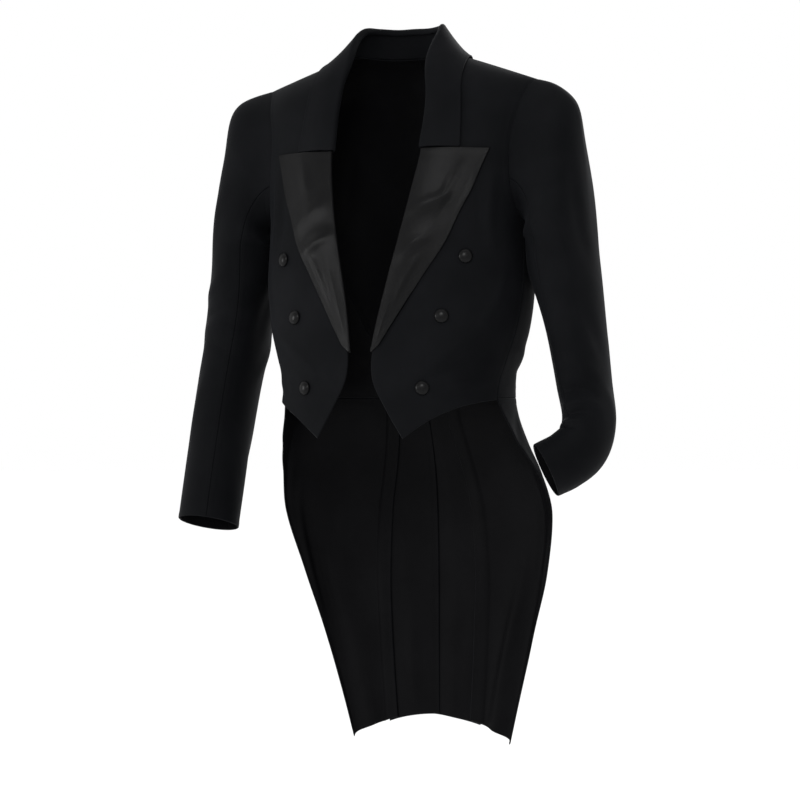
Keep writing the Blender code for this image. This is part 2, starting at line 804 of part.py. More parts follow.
def sleeve_point(rows, turn, high):
    """Sleeve: the cuff at 0 up, the armhole at 1; turn runs from the outside to the front."""
    last = len(rows) - 1
    if high < CAP_START:
        return ring_point(rows, last * (1 - high / CAP_START), turn)
    share = (1 - high) / (1 - CAP_START)
    top = max((1 + math.cos(turn)) / 2, 0.0)
    start = armhole_point(turn / math.tau) + Vector((LAID_GAP + TIP_EASE * top ** 6, 0, 0))
    end = ring_point(rows, 0.0, turn)
    direction = sleeve_ring(rows, 0.0)[1]
    leaving = Vector((mix(*LEAVING_OUT, top), 0.0, mix(*LEAVING_UP, top)))
    arriving = direction * mix(*ARRIVING, top ** ARRIVING_EASE)
    square = share * share
    cube = square * share
    return (
        start * (2 * cube - 3 * square + 1)
        + leaving * (cube - 2 * square + share)
        + end * (3 * square - 2 * cube)
        + arriving * (cube - square)
    )


def sleeve_place(rows, first, second):
    def place(wide, high):
        return sleeve_point(rows, mix(first, second, wide), high)

    return place


def build_body(side_name, side):
    """The eight body panels, four on each side."""
    columns = evenly(FRONT_COLUMNS)
    cloth_wall("front_" + side_name, front_place, columns, evenly(FRONT_ROWS), CLOTH, wool, side)
    columns = evenly(SIDE_BODY_COLUMNS)
    cloth_wall("side_body_" + side_name, side_body_place, columns, side_body_rows(), CLOTH, wool, side)
    columns = evenly(SKIRT_COLUMNS, 0.0, SKIRT_FOLD) + evenly(TUCK_COLUMNS, SKIRT_FOLD, 1.0)[1:]
    cloth_wall("skirt_" + side_name, skirt_place, columns, evenly(TAIL_ROWS), CLOTH, wool, side)
    lap = side_name == "left"

    def place(wide, high):
        return back_place(wide, high, lap)

    cloth_wall("back_" + side_name, place, evenly(BACK_COLUMNS), back_rows(lap), CLOTH, wool, side)


def back_rows(lap):
    """Rows of the back, closer together where the vent begins."""
    rows = evenly(TAIL_ROWS, 0.0, BACK_WAIST) + evenly(WAIST_ROWS, BACK_WAIST, BACK_SPLIT)[1:]
    rows += evenly(SHOULDER_ROWS, BACK_SPLIT, 1.0)[1:]
    if lap:
        below = VENT_STEP * BACK_WAIST / (WAIST_SEAM - HEM_AT_CENTRE)
        rows.append(BACK_WAIST - below)
    return sorted(rows)


def side_body_rows():
    """Rows of the side body, level with those of the back along their seam."""
    heights = [lower_height(high, 0.0) for high in evenly(WAIST_ROWS, BACK_WAIST, BACK_SPLIT)]
    for high in evenly(SHOULDER_ROWS, BACK_SPLIT, 1.0)[1:]:
        side, down = upper_side((high - BACK_SPLIT) / (1 - BACK_SPLIT))
        height = ridge_height(side) - rounding(down)[0]
        if height < BACK_ARMHOLE_END - VENT_STEP:
            heights.append(height)
    heights.append(BACK_ARMHOLE_END)
    return [(height - WAIST_SEAM) / (BACK_ARMHOLE_END - WAIST_SEAM) for height in heights]


def build_collar():
    cloth_wall("collar_stand", stand_place, evenly(STAND_COLUMNS), evenly(STAND_ROWS), CLOTH, wool)
    rows = evenly(FALL_ROWS, 0.0, 1 - FOLD_SHARE) + evenly(FALL_FOLD_ROWS, 1 - FOLD_SHARE, 1.0)[1:]
    cloth_wall("collar_fall", fall_place, evenly(FALL_COLUMNS), rows, CLOTH, wool)


def build_lapel(side_name, side):
    columns = evenly(LAPEL_FOLD_COLUMNS, 0.0, FOLD_SHARE) + evenly(LAPEL_COLUMNS, FOLD_SHARE, 1.0)[1:]
    cloth_wall("lapel_" + side_name, lapel_place, columns, evenly(LAPEL_ROWS), SATIN, satin, side)


def build_sleeve(side_name, side):
    rows = SLEEVES[side_name]
    gap = SEAM_GAP / 2 / rows[0].half_deep
    up = evenly(SLEEVE_ROWS, 0.0, CAP_START) + evenly(CAP_ROWS, CAP_START, 1.0)[1:]
    over = sleeve_place(rows, SLEEVE_FRONT_SEAM - gap, SLEEVE_BACK_SEAM - math.tau + gap)
    under = sleeve_place(rows, SLEEVE_BACK_SEAM - gap, SLEEVE_FRONT_SEAM + gap)
    cloth_wall("top_sleeve_" + side_name, over, evenly(TOP_SLEEVE_COLUMNS), up, CLOTH, wool, side)
    cloth_wall("under_sleeve_" + side_name, under, evenly(UNDER_SLEEVE_COLUMNS), up, CLOTH, wool, side)


def button_mesh(name, width):
    """Low dome turned from its profile, flat behind."""
    profile = [(row.out * width / 2, row.up * width * BUTTON_RISE) for row in BUTTON_PROFILE]
    data = bpy.data.meshes.new(name)
    edges = [(index, index + 1) for index in range(len(profile) - 1)]
    data.from_pydata([(across, 0.0, up) for across, up in profile], edges, [])
    return data


def add_button(name, width, point, normal, side, finish):
    """Button lying on the cloth at a point, turned to face along the normal."""
    button = add_object(name, button_mesh(name, width), finish)
    turned = button.modifiers.new("turned", "SCREW")
    turned.steps = BUTTON_STEPS
    turned.render_steps = BUTTON_STEPS
    turned.use_merge_vertices = True
    turned.merge_threshold = 0.00001
    turned.use_normal_calculate = True
    turned.use_smooth_shade = True
    seat = point + normal * SEAM_GAP
    button.location = (side * seat.x, seat.y, seat.z)
    facing = Vector((side * normal.x, normal.y, normal.z))
    button.rotation_euler = facing.to_track_quat("Z", "Y").to_euler()


def build_buttons(side_name, side):
    for index, row in enumerate(FRONT_BUTTONS):
        angle = angle_at(row.across, row.height)
        down = down_at(angle, row.height)
        name = f"front_button_{side_name}_{index + 1}"
        place = (body_point(angle, down), body_normal(angle, down))
        add_button(name, FRONT_BUTTON_WIDTH, *place, side, covered)
    angle = seam_angle(BACK_SEAM, WAIST_BUTTON_HEIGHT)
    down = down_at(angle, WAIST_BUTTON_HEIGHT)
    place = (raised(angle, down, WAIST_BUTTON_EASE), body_normal(angle, down))
    add_button("waist_button_" + side_name, WAIST_BUTTON_WIDTH, *place, side, covered)
    rows = SLEEVES[side_name]

    def place_at(turn, along):
        return sleeve_point(rows, turn, along)

    angle = CUFF_BUTTON_ANGLE
    high = 0.0
    travel = CUFF_BUTTON_START
    for index in range(CUFF_BUTTONS):
        for _ in range(CUFF_BUTTON_TRIES):
            ahead = place_at(angle, high + NUDGE) - place_at(angle, high)
            high += travel / CUFF_BUTTON_TRIES * NUDGE / ahead.length
        travel = CUFF_BUTTON_STEP
        around = place_at(angle - NUDGE, high) - place_at(angle + NUDGE, high)
        along = place_at(angle, high + NUDGE) - place_at(angle, high - NUDGE)
        place = (place_at(angle, high), around.cross(along).normalized())
        add_button(f"cuff_button_{side_name}_{index + 1}", CUFF_BUTTON_WIDTH, *place, side, covered)


for old in list(bpy.data.objects):
    bpy.data.objects.remove(old, do_unlink=True)

ARMHOLE_POINTS = armhole_curve()
ARMHOLE_LENGTHS = curve_lengths(ARMHOLE_POINTS)
ARMHOLE_LOWEST = min(range(len(ARMHOLE_POINTS)), key=lambda index: ARMHOLE_POINTS[index].z)

parts = collection_named("tailcoat")
coat = bpy.data.objects.new("coat", None)
parts.objects.link(coat)

wool = finish_named("black_wool", (0.010, 0.010, 0.012), 0.85, 0.25)
satin = finish_named("black_satin", (0.016, 0.016, 0.017), 0.32, 0.55)
covered = finish_named("covered_button", (0.012, 0.012, 0.014), 0.40, 0.45)

build_collar()
for side_name, side in SIDES.items():
    build_body(side_name, side)
    build_lapel(side_name, side)
    build_sleeve(side_name, side)
    build_buttons(side_name, side)
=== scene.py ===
"""Looks of the white tie tailcoat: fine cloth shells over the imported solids.

Every panel is cut from the same surfaces as its solid, at a finer step, with its
folds and pressed edges added.  Metres, +Z up; the coat faces -Y and its own left
side is +X.  Angles run round the body, 0 at the centre front, pi at the centre back.
The tables' lengths are written in millimetres, and table() makes metres of them.
"""
import math
from collections import namedtuple

import bpy
import numpy as np
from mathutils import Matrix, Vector


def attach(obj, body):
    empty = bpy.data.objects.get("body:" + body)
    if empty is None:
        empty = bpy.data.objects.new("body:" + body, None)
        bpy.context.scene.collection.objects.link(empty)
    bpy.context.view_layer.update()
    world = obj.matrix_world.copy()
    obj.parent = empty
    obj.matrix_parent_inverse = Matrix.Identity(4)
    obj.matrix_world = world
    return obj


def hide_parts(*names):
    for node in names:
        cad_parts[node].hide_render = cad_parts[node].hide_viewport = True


# Cloth and seams
CLOTH = 0.0022
SATIN = 0.0018
SEAM_GAP = 0.0003
LAID_GAP = 0.0007
EDGE_ROUND = 0.0007
SEAM_CLOSE = 0.0004
EDGE_SWELL = 0.00035
EDGE_PRESSED = 0.006
EDGE_FADE = 0.004

# Grid steps: the usual one, and the lines close to an edge
STEP = 0.0035
EDGE_LINES = (0.0, 0.0015, 0.0035, 0.006, 0.009)

# Shoulders
RIDGE_TOP = 0.0409
SHOULDER_SLOPE = 0.351
RIDGE_SOFTNESS = 0.05
SHOULDER_RADIUS = 0.05
TOP_HALF_WIDTH = 0.226
FULLNESS = 0.10
BODY_RADIUS = 0.20

# Heights of the main lines
UNDERARM_HEIGHT = -0.2435
BACK_ARMHOLE_END = -0.182
WAIST_SEAM = -0.507
GORGE_HEIGHT = -0.141
ROLL_END = -0.440
HEM_AT_CENTRE = -0.992
HEM_AT_EDGE = -1.032

# Back vent and side pleats
VENT_LAP = 0.020
VENT_STEP = 0.004
VENT_TUCK = 0.008
VENT_TUCK_LENGTH = 0.010
VENT_LIFT_LENGTH = 0.016
VENT_LIFT_START = 0.45
VENT_LIFT_SPREAD = 0.35
PLEAT_TUCK = 0.016
PLEAT_RAMP = 0.009
PLEAT_EDGE = 0.001

# Collar and lapels
STAND_HEIGHT = 0.040
STAND_LEAN = 0.30
STAND_END = 0.66
UPRIGHT_EASE = 1.3
NECK_MIDDLE = 0.022
LAPEL_ROLL = 0.0045
LAPEL_ROLL_LENGTH = 0.08
FOLD_SHARE = 0.22
FOLD_START = math.radians(-115)
FOLD_END = math.radians(80)
FOLD_EASE = 1.8

# Buttons
FRONT_BUTTON_WIDTH = 0.021
WAIST_BUTTON_WIDTH = 0.020
WAIST_BUTTON_EASE = 0.0005
CUFF_BUTTON_WIDTH = 0.014
BUTTON_RISE = 0.30
BUTTON_STEPS = 40
CUFF_BUTTONS = 3
CUFF_BUTTON_START = 0.026
CUFF_BUTTON_STEP = 0.017
CUFF_BUTTON_ANGLE = math.radians(-84)
CUFF_BUTTON_TRIES = 10

# Sleeves: seams, as angles from the outer side to the front, and the cap's fullness
SLEEVE_FRONT_SEAM = math.radians(118)
SLEEVE_BACK_SEAM = math.radians(262)
SLEEVE_RADIUS = 0.055
SLEEVE_LENGTH = 0.66
SLEEVE_TUCK = 0.0013
LEAVING_OUT = (0.014, 0.240)
LEAVING_UP = (-0.012, -0.030)
ARRIVING = (0.045, 0.44)
ARRIVING_EASE = 1.3
ARMHOLE_STEPS = 60
UNDERARM_ROUNDS = 10

# Where a sleeve lies on the side of the body
RESTING_ROUNDS = 8
RESTING_EASE = 0.010
RESTING_LIMITS = (math.radians(60), math.radians(130))

# Searches for a point, and the small steps that slopes are taken over
ANGLE_ROUNDS = 6
EDGE_ROUNDS = 3
WIDEST_SHARE = 0.999
LEAST_SLOPE = 0.2
NUDGE = 1e-4
RING_NUDGE = 0.01

# How each piece's rows are shared out
FRONT_SPLIT = 0.5
BACK_WAIST = 0.40
BACK_SPLIT = 0.72
BACK_HEM_SHARE = 0.6
SKIRT_FOLD = 0.70
CAP_START = 0.62

# How finely each piece is divided: its stretches, with the length and the share where each ends
FOLD_STEPS = 13
Stretch = namedtuple("Stretch", "length end")
ACROSS = {
    "front": [Stretch(0.21, 1.0)],
    "side_body": [Stretch(0.15, 1.0)],
    "skirt": [Stretch(0.20, SKIRT_FOLD), Stretch(0.03, 1.0)],
    "back": [Stretch(0.14, 1.0)],
    "top_sleeve": [Stretch(0.22, 1.0)],
    "under_sleeve": [Stretch(0.14, 1.0)],
    "collar_stand": [Stretch(0.36, 1.0)],
    "collar_fall": [Stretch(0.56, 1.0)],
}
ALONG = {
    "front": [Stretch(0.32, FRONT_SPLIT), Stretch(0.25, 1.0)],
    "side_body": [Stretch(0.32, 1.0)],
    "skirt": [Stretch(0.52, 1.0)],
    "back": [Stretch(0.49, BACK_WAIST), Stretch(0.26, BACK_SPLIT), Stretch(0.24, 1.0)],
    "sleeve": [Stretch(0.42, CAP_START), Stretch(0.26, 1.0)],
    "lapel": [Stretch(0.30, 1.0)],
    "collar_stand": [Stretch(0.036, 1.0)],
}
LAPEL_WIDTH = 0.09
FALL_WIDTH = 0.05

# Camera, floor and lights
CAMERA_TURN = math.radians(25)
CAMERA_AWAY = 4.5
CAMERA_AIM = (0.0, 0.0, -0.51)
CAMERA_LENS = 135
CAMERA_SENSOR = 36
FLOOR_HEIGHT = -1.55
FLOOR_RADIUS = 40.0
FLOOR_SIDES = 96
FLOOR_LOOK = {"Base_Color": (0.95, 0.95, 0.95, 1.0), "Roughness": 0.8, "Specular_IOR_Level": 0.2}
Lamp = namedtuple("Lamp", "name place size power")
LAMPS = [
    Lamp("key", (1.0, -3.1, 1.05), (0.7, 0.7), 36),
    Lamp("side", (-2.7, -2.1, -0.15), (0.6, 1.1), 36),
    Lamp("fill", (-0.8, -3.0, 0.1), (0.9, 0.9), 5),
    Lamp("back", (0.6, 3.2, 1.6), (2.0, 1.4), 50),
]
LAMP_AIM = (0.0, 0.0, -0.4)
SKY_POWER = 0.25
SKY_SPREAD = math.radians(60)

# Weaves: darkest and lightest colour, roughness, the twill's spacing and its turn in degrees,
# the yarns' fineness, the depth of the puckers, and what the shader says
Weave = namedtuple("Weave", "dark light rough twill turn grain pucker shader")
WEAVES = {
    "black_worsted": Weave(
        (0.0016, 0.0018, 0.0023), (0.0030, 0.0032, 0.0039), (0.60, 0.80), 0.0011, 62, 1500, 0.0016,
        {
            "Sheen_Weight": 0.012,
            "Sheen_Roughness": 0.45,
            "Sheen_Tint": (0.75, 0.80, 0.90, 1.0),
            "Specular_IOR_Level": 0.045,
        },
    ),
    "dark_inside": Weave(
        (0.0014, 0.0014, 0.0017), (0.0024, 0.0024, 0.0028), (0.45, 0.60), 0.0008, 90, 2200, 0.0012,
        {"Specular_IOR_Level": 0.03},
    ),
    "black_silk_satin": Weave(
        (0.0012, 0.0012, 0.0014), (0.0020, 0.0020, 0.0022), (0.22, 0.32), 0.0006, 8, 2600, 0.0012,
        {"Anisotropic": 0.4, "Specular_IOR_Level": 0.092},
    ),
    "covered_button": Weave(
        (0.0012, 0.0012, 0.0014), (0.0020, 0.0020, 0.0022), (0.24, 0.36), 0.0007, 45, 2400, 0.0002,
        {"Specular_IOR_Level": 0.11},
    ),
}
WAVE_SCALE = math.tau / 20
TWILL_WAVE = {"Distortion": 0.6, "Detail": 1.0}
YARN_NOISE = {"Detail": 2.0, "Roughness": 0.6}
CLOUD_NOISE = {"Scale": 9.0, "Detail": 3.0, "Roughness": 0.55}
CLOUD_RANGE = {"From_Min": 0.35, "From_Max": 0.65}
DRIFT_NOISE = {"Scale": 16.0, "Detail": 2.0, "Roughness": 0.5}
RIB_BUMP = {"Strength": 0.5, "Distance": 0.00012}
FIBRE_BUMP = {"Strength": 0.6, "Distance": 0.00012}

# Columns of the tables that aren't lengths
PLAIN_COLUMNS = ("share", "angle", "front_angle", "back_angle", "spread", "turn", "stand", "out", "up")


def table(kind, rows):
    """Rows of a table, its lengths turned from millimetres to metres."""
    return [
        kind(*(value if name in PLAIN_COLUMNS else value / 1000 for name, value in zip(kind._fields, row)))
        for row in rows
    ]


# Body sections: half the width, the middle, and the depths in front and behind it
Section = namedtuple("Section", "height half_width centre front back")
SECTIONS = table(Section, [
    (45, 226, 10, 58, 75),
    (0, 226, 10, 62, 79),
    (-50, 226, 10, 71, 87),
    (-100, 223, 10, 85, 94),
    (-150, 219, 10, 101, 97),
    (-200, 214, 10, 114, 97),
    (-245, 210, 10, 123, 94),
    (-300, 211, 10, 131, 90),
    (-355, 210, 10, 137, 84),
    (-405, 203, 10, 144, 78),
    (-450, 190, 10, 150, 73),
    (-490, 180, 10, 154, 71),
    (-530, 184, 10, 156, 78),
    (-575, 198, 14, 160, 88),
    (-620, 212, 30, 167, 84),
    (-680, 221, 52, 180, 69),
    (-770, 206, 76, 200, 49),
    (-860, 181, 90, 210, 36),
    (-960, 154, 99, 220, 28),
    (-1050, 131, 103, 220, 24),
])

# Forepart: distance of the front edge from the middle
EdgeRow = namedtuple("EdgeRow", "height across")
FRONT_EDGE = table(EdgeRow, [
    (20, 77.5),
    (-30, 79),
    (-141, 77),
    (-214, 66),
    (-266, 55.5),
    (-330, 41),
    (-376, 31),
    (-420, 23),
    (-455, 19),
    (-485, 23.5),
    (-526, 45),
    (-566, 69),
])

# Cutaway hem of the forepart, from its point to the side seam
HemRow = namedtuple("HemRow", "share height")
FRONT_HEM = table(HemRow, [
    (0, -566),
    (0.15, -552),
    (0.35, -535),
    (0.6, -520),
    (0.85, -512),
    (1, -510),
])

# Seams and edges that run down the body, in degrees round it
SeamRow = namedtuple("SeamRow", "height angle")
SIDE_SEAM = table(SeamRow, [
    (-243.5, 79),
    (-350, 78.5),
    (-450, 76),
    (-520, 73),
])
BACK_SEAM = table(SeamRow, [
    (-182, 119),
    (-215, 125),
    (-260, 132.5),
    (-320, 142),
    (-380, 151),
    (-440, 159),
    (-507, 164),
    (-570, 163.5),
    (-680, 160),
    (-800, 156),
    (-1040, 150),
])
SKIRT_EDGE = table(SeamRow, [
    (-505, 73.5),
    (-560, 82),
    (-620, 90),
    (-680, 95),
    (-770, 99),
    (-860, 103),
    (-960, 107),
    (-1040, 111),
])

# Armhole: edges of the forepart and the back, by length down from the ridge
ArmholeRow = namedtuple("ArmholeRow", "down front_angle back_angle")
ARMHOLE = table(ArmholeRow, [
    (0, 74, 106),
    (24, 69.5, 110.5),
    (60, 64.5, 115.5),
    (120, 60, 121),
    (176, 63, 119),
    (213, 69.5, 119),
    (236, 79, 119),
])
UnderarmRow = namedtuple("UnderarmRow", "angle height")
UNDERARM = table(UnderarmRow, [
    (79, -243.5),
    (85, -248),
    (95, -246),
    (105, -232),
    (113, -208),
    (119, -182),
])

# Soft flutes in the tails, deepest at the hem
Flute = namedtuple("Flute", "angle spread depth")
FLUTES = table(Flute, [
    (118, 9, 6),
    (134, 8, -5),
    (149, 8, 4),
    (168, 8, -3),
])
FLUTE_TOP = -0.58

# Neckline and the collar's outer edge, from the centre back to the gorge seam
NeckRow = namedtuple("NeckRow", "share neck_across neck_reach edge_across edge_reach stand")
NECK = table(NeckRow, [
    (-0.14, -35, -35, -45, -55, 1),
    (0, 0, -40, 0, -60, 1),
    (0.14, 35, -35, 45, -55, 1),
    (0.27, 64, -19, 88, -36, 1),
    (0.37, 76, 0, 109, -4, 0.96),
    (0.48, 76.8, 30, 117, 26, 0.6),
    (0.62, 78.2, 70, 122, 64, 0.2),
    (0.8, 78.5, 115, 128, 105, 0.03),
    (1, 77, 177.5, 135, 159.5, 0),
])

# Outer edge of the lapel, from its peak to the end of the roll
LAPEL_EDGE = table(EdgeRow, [
    (-142, 172),
    (-172, 162),
    (-201, 153.5),
    (-236, 137.5),
    (-282, 119),
    (-330, 90),
    (-371, 65.5),
    (-430, 30),
])

# Sleeves: the middle of each ring, half its width from inside to outside, half its depth
Ring = namedtuple("Ring", "across forth height half_across half_deep")
SleeveRow = namedtuple("SleeveRow", ("place",) + Ring._fields)
SLEEVES = {
    "right": table(Ring, [
        (262, 4, -270, 44, 69),
        (269, 8, -340, 47.5, 65),
        (279, 8, -410, 47.5, 62),
        (288, -4, -490, 45, 59),
        (293, -22, -570, 44.5, 56.5),
        (296, -42, -650, 44, 54),
        (297, -54, -697, 44, 53),
    ]),
    "left": table(Ring, [
        (263, 6, -270, 44, 68),
        (269, 12, -338, 45, 64),
        (279, 18, -415, 41, 60),
        (289.5, 18, -485, 38.5, 56),
        (301, 8, -537, 37.5, 52),
        (298, -8, -574, 37.5, 49),
        (279, -26, -597, 37.5, 46),
        (253, -42, -612, 37, 44),
    ]),
}

# Buttons: their places on the forepart and the waist, and half of their section
ButtonRow = namedtuple("ButtonRow", "across height")
FRONT_BUTTONS = table(ButtonRow, [
    (148, -301),
    (119, -388),
    (95, -492.6),
])
WAIST_BUTTON_HEIGHT = -0.494
ProfileRow = namedtuple("ProfileRow", "out up")
BUTTON_PROFILE = table(ProfileRow, [
    (0, 1),
    (0.2, 0.985),
    (0.4, 0.94),
    (0.58, 0.86),
    (0.74, 0.74),
    (0.87, 0.58),
    (0.96, 0.4),
    (1, 0.24),
    (0.98, 0.1),
    (0.9, 0),
    (0, 0),
])

# Soft folds: the middle, the direction in degrees, half the length, width, height, bow
Fold = namedtuple("Fold", "across along turn length width height bow")

# On the body, across is the angle times BODY_RADIUS, and along is the height
BODY_FOLDS = {
    "left": table(Fold, [
        (185, -235, 96, 85, 13, 3, 10),
        (163, -215, 100, 70, 11, -2.2, 8),
        (205, -370, 62, 75, 12, 2.4, -8),
        (150, -435, 28, 75, 10, 2, 10),
        (160, -462, 18, 80, 9, -1.8, 8),
        (190, -492, 8, 70, 8, 2, 4),
        (100, -470, 34, 50, 10, 1.4, 6),
        (300, -300, 118, 70, 13, 2.6, 12),
        (335, -290, 112, 80, 12, -2, 10),
        (330, -440, -12, 70, 10, 2.2, 6),
        (370, -470, -6, 80, 8.5, -2, 6),
        (400, -488, 6, 65, 8, 1.8, 4),
        (480, -420, 20, 60, 10, 1.6, -6),
        (540, -460, -10, 60, 9, -1.4, 4),
        (520, -160, 74, 70, 15, 1.8, 8),
        (430, -120, 98, 55, 12, -1.8, 6),
        (330, -640, 84, 110, 16, 3, 8),
        (372, -760, 92, 150, 15, -3.4, -10),
        (420, -700, 88, 130, 14, 3, 8),
        (470, -860, 94, 130, 15, -3, 6),
        (300, -560, 60, 55, 11, -2, 6),
        (575, -640, 88, 110, 12, 1.8, 4),
        (560, -880, 91, 120, 13, -2, 6),
    ]),
    "right": table(Fold, [
        (180, -225, 99, 80, 12, 2.6, 12),
        (160, -240, 95, 80, 12, -2.4, 6),
        (210, -345, 70, 70, 13, 2.2, -10),
        (140, -425, 36, 65, 11, 2.2, 8),
        (170, -470, 12, 85, 9, -2, 6),
        (200, -488, 16, 60, 8, 1.6, 6),
        (95, -455, 44, 45, 9, 1.4, 4),
        (305, -310, 112, 80, 12, 2.4, 10),
        (345, -275, 116, 70, 13, -2.2, 12),
        (320, -450, -8, 75, 9, 2.4, 8),
        (385, -462, -14, 70, 9, -1.8, 4),
        (410, -492, 2, 60, 8, 1.6, 6),
        (470, -405, 26, 55, 11, 1.8, -4),
        (550, -448, -16, 55, 9, -1.4, 6),
        (510, -175, 82, 80, 15, 1.8, 6),
        (440, -105, 92, 50, 13, -1.6, 8),
        (340, -660, 92, 120, 15, 3.2, -8),
        (380, -740, 86, 140, 15, -3, 10),
        (430, -820, 90, 140, 15, 3.2, 6),
        (480, -700, 86, 110, 14, -2.6, 8),
        (305, -565, 66, 50, 12, -1.8, 8),
        (570, -740, 92, 130, 13, 2, 6),
        (590, -900, 89, 90, 11, -1.6, 4),
    ]),
}

# On a sleeve, across is the angle times SLEEVE_RADIUS, and along is the length from the cuff
SLEEVE_FOLDS = {
    "left": table(Fold, [
        (165, 372, 0, 70, 40, 9, 0),
        (172, 455, 0, 110, 48, 12.5, 0),
        (10, 560, 0, 100, 32, 5, 0),
        (80, 215, 12, 50, 8.5, -4.2, 8),
        (85, 190, 4, 60, 9, 4, 6),
        (95, 165, -8, 55, 8, -4.4, 6),
        (100, 138, -14, 55, 8.5, 3.6, 6),
        (110, 112, -20, 45, 8, -3.4, 4),
        (60, 255, 34, 55, 11, 2.6, -8),
        (30, 300, 60, 65, 12, -2.4, 10),
        (0, 180, 74, 60, 12, 1.8, 10),
        (60, 400, 74, 70, 13, 2.8, 12),
        (30, 430, 84, 80, 12, -2.6, -10),
        (-30, 440, 96, 70, 14, 2.4, 8),
        (-70, 350, 104, 80, 13, -2.4, 10),
        (-60, 240, 70, 60, 12, 2.2, 10),
        (170, 300, 70, 80, 12, -2.8, 10),
        (200, 230, 40, 60, 10, 2.8, 8),
        (150, 390, 96, 60, 12, 2.8, 8),
        (215, 120, -60, 60, 11, -2.2, 6),
        (20, 60, -12, 50, 10, -1.8, 6),
    ]),
    "right": table(Fold, [
        (165, 380, 0, 70, 40, 8, 0),
        (172, 455, 0, 110, 48, 12.5, 0),
        (10, 575, 0, 100, 40, 10, 0),
        (75, 305, 16, 50, 9, -3.6, 8),
        (85, 278, 6, 60, 9, 3.2, 6),
        (90, 250, -10, 50, 8.5, -3.4, 6),
        (55, 340, 40, 60, 11, 2.4, -8),
        (20, 220, 66, 70, 13, -2.2, 12),
        (60, 180, 72, 70, 12, 2, 10),
        (10, 90, 80, 60, 12, -1.8, 8),
        (50, 440, 78, 80, 13, 2.8, 12),
        (15, 460, 86, 80, 12, -2.6, 8),
        (-40, 420, 98, 90, 14, 2.4, 8),
        (-75, 330, 100, 80, 13, -2.6, 10),
        (-65, 200, 86, 80, 12, 2.2, -10),
        (165, 320, 74, 80, 12, -2.6, 10),
        (195, 250, 48, 60, 11, 2.6, 8),
        (150, 420, 94, 60, 12, 2.8, 8),
        (210, 110, -70, 60, 11, -2, 6),
        (-20, 45, 8, 45, 10, -1.4, 4),
    ]),
}

# On a lapel all but the height, in metres, are shares of it, from the roll and from the roll's end
LAPEL_FOLDS = {
    "left": [
        Fold(0.66, 0.80, 78, 0.18, 0.070, 0.0034, 0.04),
        Fold(0.97, 0.80, 96, 0.18, 0.060, 0.0026, 0.02),
        Fold(0.48, 0.72, 8, 0.40, 0.040, 0.0028, -0.03),
        Fold(0.50, 0.52, 12, 0.40, 0.050, 0.0028, -0.03),
        Fold(0.62, 0.36, 72, 0.20, 0.080, 0.0022, 0.04),
        Fold(0.45, 0.18, 80, 0.16, 0.080, 0.0014, 0.02),
    ],
    "right": [
        Fold(0.60, 0.53, -9, 0.50, 0.035, 0.0042, 0.02),
        Fold(0.60, 0.68, -12, 0.50, 0.050, 0.0030, 0.02),
        Fold(0.55, 0.86, 70, 0.16, 0.070, 0.0018, 0.03),
        Fold(0.70, 0.38, 76, 0.20, 0.070, 0.0026, 0.03),
        Fold(0.40, 0.26, 84, 0.22, 0.070, 0.0018, 0.02),
    ],
}

# Flat cut of each piece of one side, and of the collar
Cut = namedtuple("Cut", "width length area held rests_on")
CUTS = {
    "front": Cut(0.230, 0.641, 0.100, "hung", ("back",)),
    "side_body": Cut(0.206, 0.357, 0.046, "hung", ("front", "back")),
    "back": Cut(0.252, 1.079, 0.140, "hung", ("collar_stand",)),
    "skirt": Cut(0.221, 0.575, 0.082, "hung", ("side_body",)),
    "lapel": Cut(0.114, 0.333, 0.0245, "folded", ("front",)),
    "top_sleeve": Cut(0.318, 0.693, 0.128, "hung", ("front", "back")),
    "under_sleeve": Cut(0.210, 0.560, 0.062, "hung", ("front", "back")),
    "collar_stand": Cut(0.397, 0.039, 0.0124, "hung", ("back_right", "back_left")),
    "collar_fall": Cut(0.667, 0.083, 0.0475, "folded", ("collar_stand",)),
}

SIDES = {"right": -1, "left": 1}


def smooth(share):
    """Ease from 0 to 1 with level ends."""
    share = np.clip(share, 0.0, 1.0)
    return share * share * (3 - 2 * share)


def mix(first, second, share):
    return first + (second - first) * share


def unit(vectors):
    return vectors / np.linalg.norm(vectors, axis=-1, keepdims=True)


def dot(first, second):
    return (first * second).sum(-1, keepdims=True)


def curve(start, leaving, end, arriving, share):
    """Cubic from a start to an end, with its slopes at both."""
    square = share ** 2
    cube = share ** 3
    return (
        start * (2 * cube - 3 * square + 1)
        + leaving * (cube - 2 * square + share)
        + end * (3 * square - 2 * cube)
        + arriving * (cube - square)
    )


def column(rows, name, at):
    """Smooth values of a table's column at values of its first column."""
    rows = sorted(rows, key=lambda row: row[0])
    keys = np.array([row[0] for row in rows])
    values = np.array([getattr(row, name) for row in rows])
    slopes = np.gradient(values, keys)
    slopes[1:-1] = (values[2:] - values[:-2]) / (keys[2:] - keys[:-2])
    at = np.asarray(at, float)
    low = np.clip(np.searchsorted(keys, at) - 1, 0, len(keys) - 2)
    span = keys[low + 1] - keys[low]
    share = (at - keys[low]) / span
    inside = np.clip(share, 0.0, 1.0)
    within = curve(values[low], span * slopes[low], values[low + 1], span * slopes[low + 1], inside)
    return within + (share - inside) * span * np.where(share < 0, slopes[low], slopes[low + 1])


def width_share(angle):
    """Distance from the middle as a share of the half width."""
    return np.sin(angle) * (1 + FULLNESS * np.cos(angle) ** 2)


def depth_share(angle):
    return np.cos(angle) * (1 + FULLNESS * np.sin(angle) ** 2)


def ridge_height(angle):
    """Height of the shoulder ridge over the body at this angle."""
    return RIDGE_TOP - SHOULDER_SLOPE * np.hypot(TOP_HALF_WIDTH * width_share(angle), RIDGE_SOFTNESS)


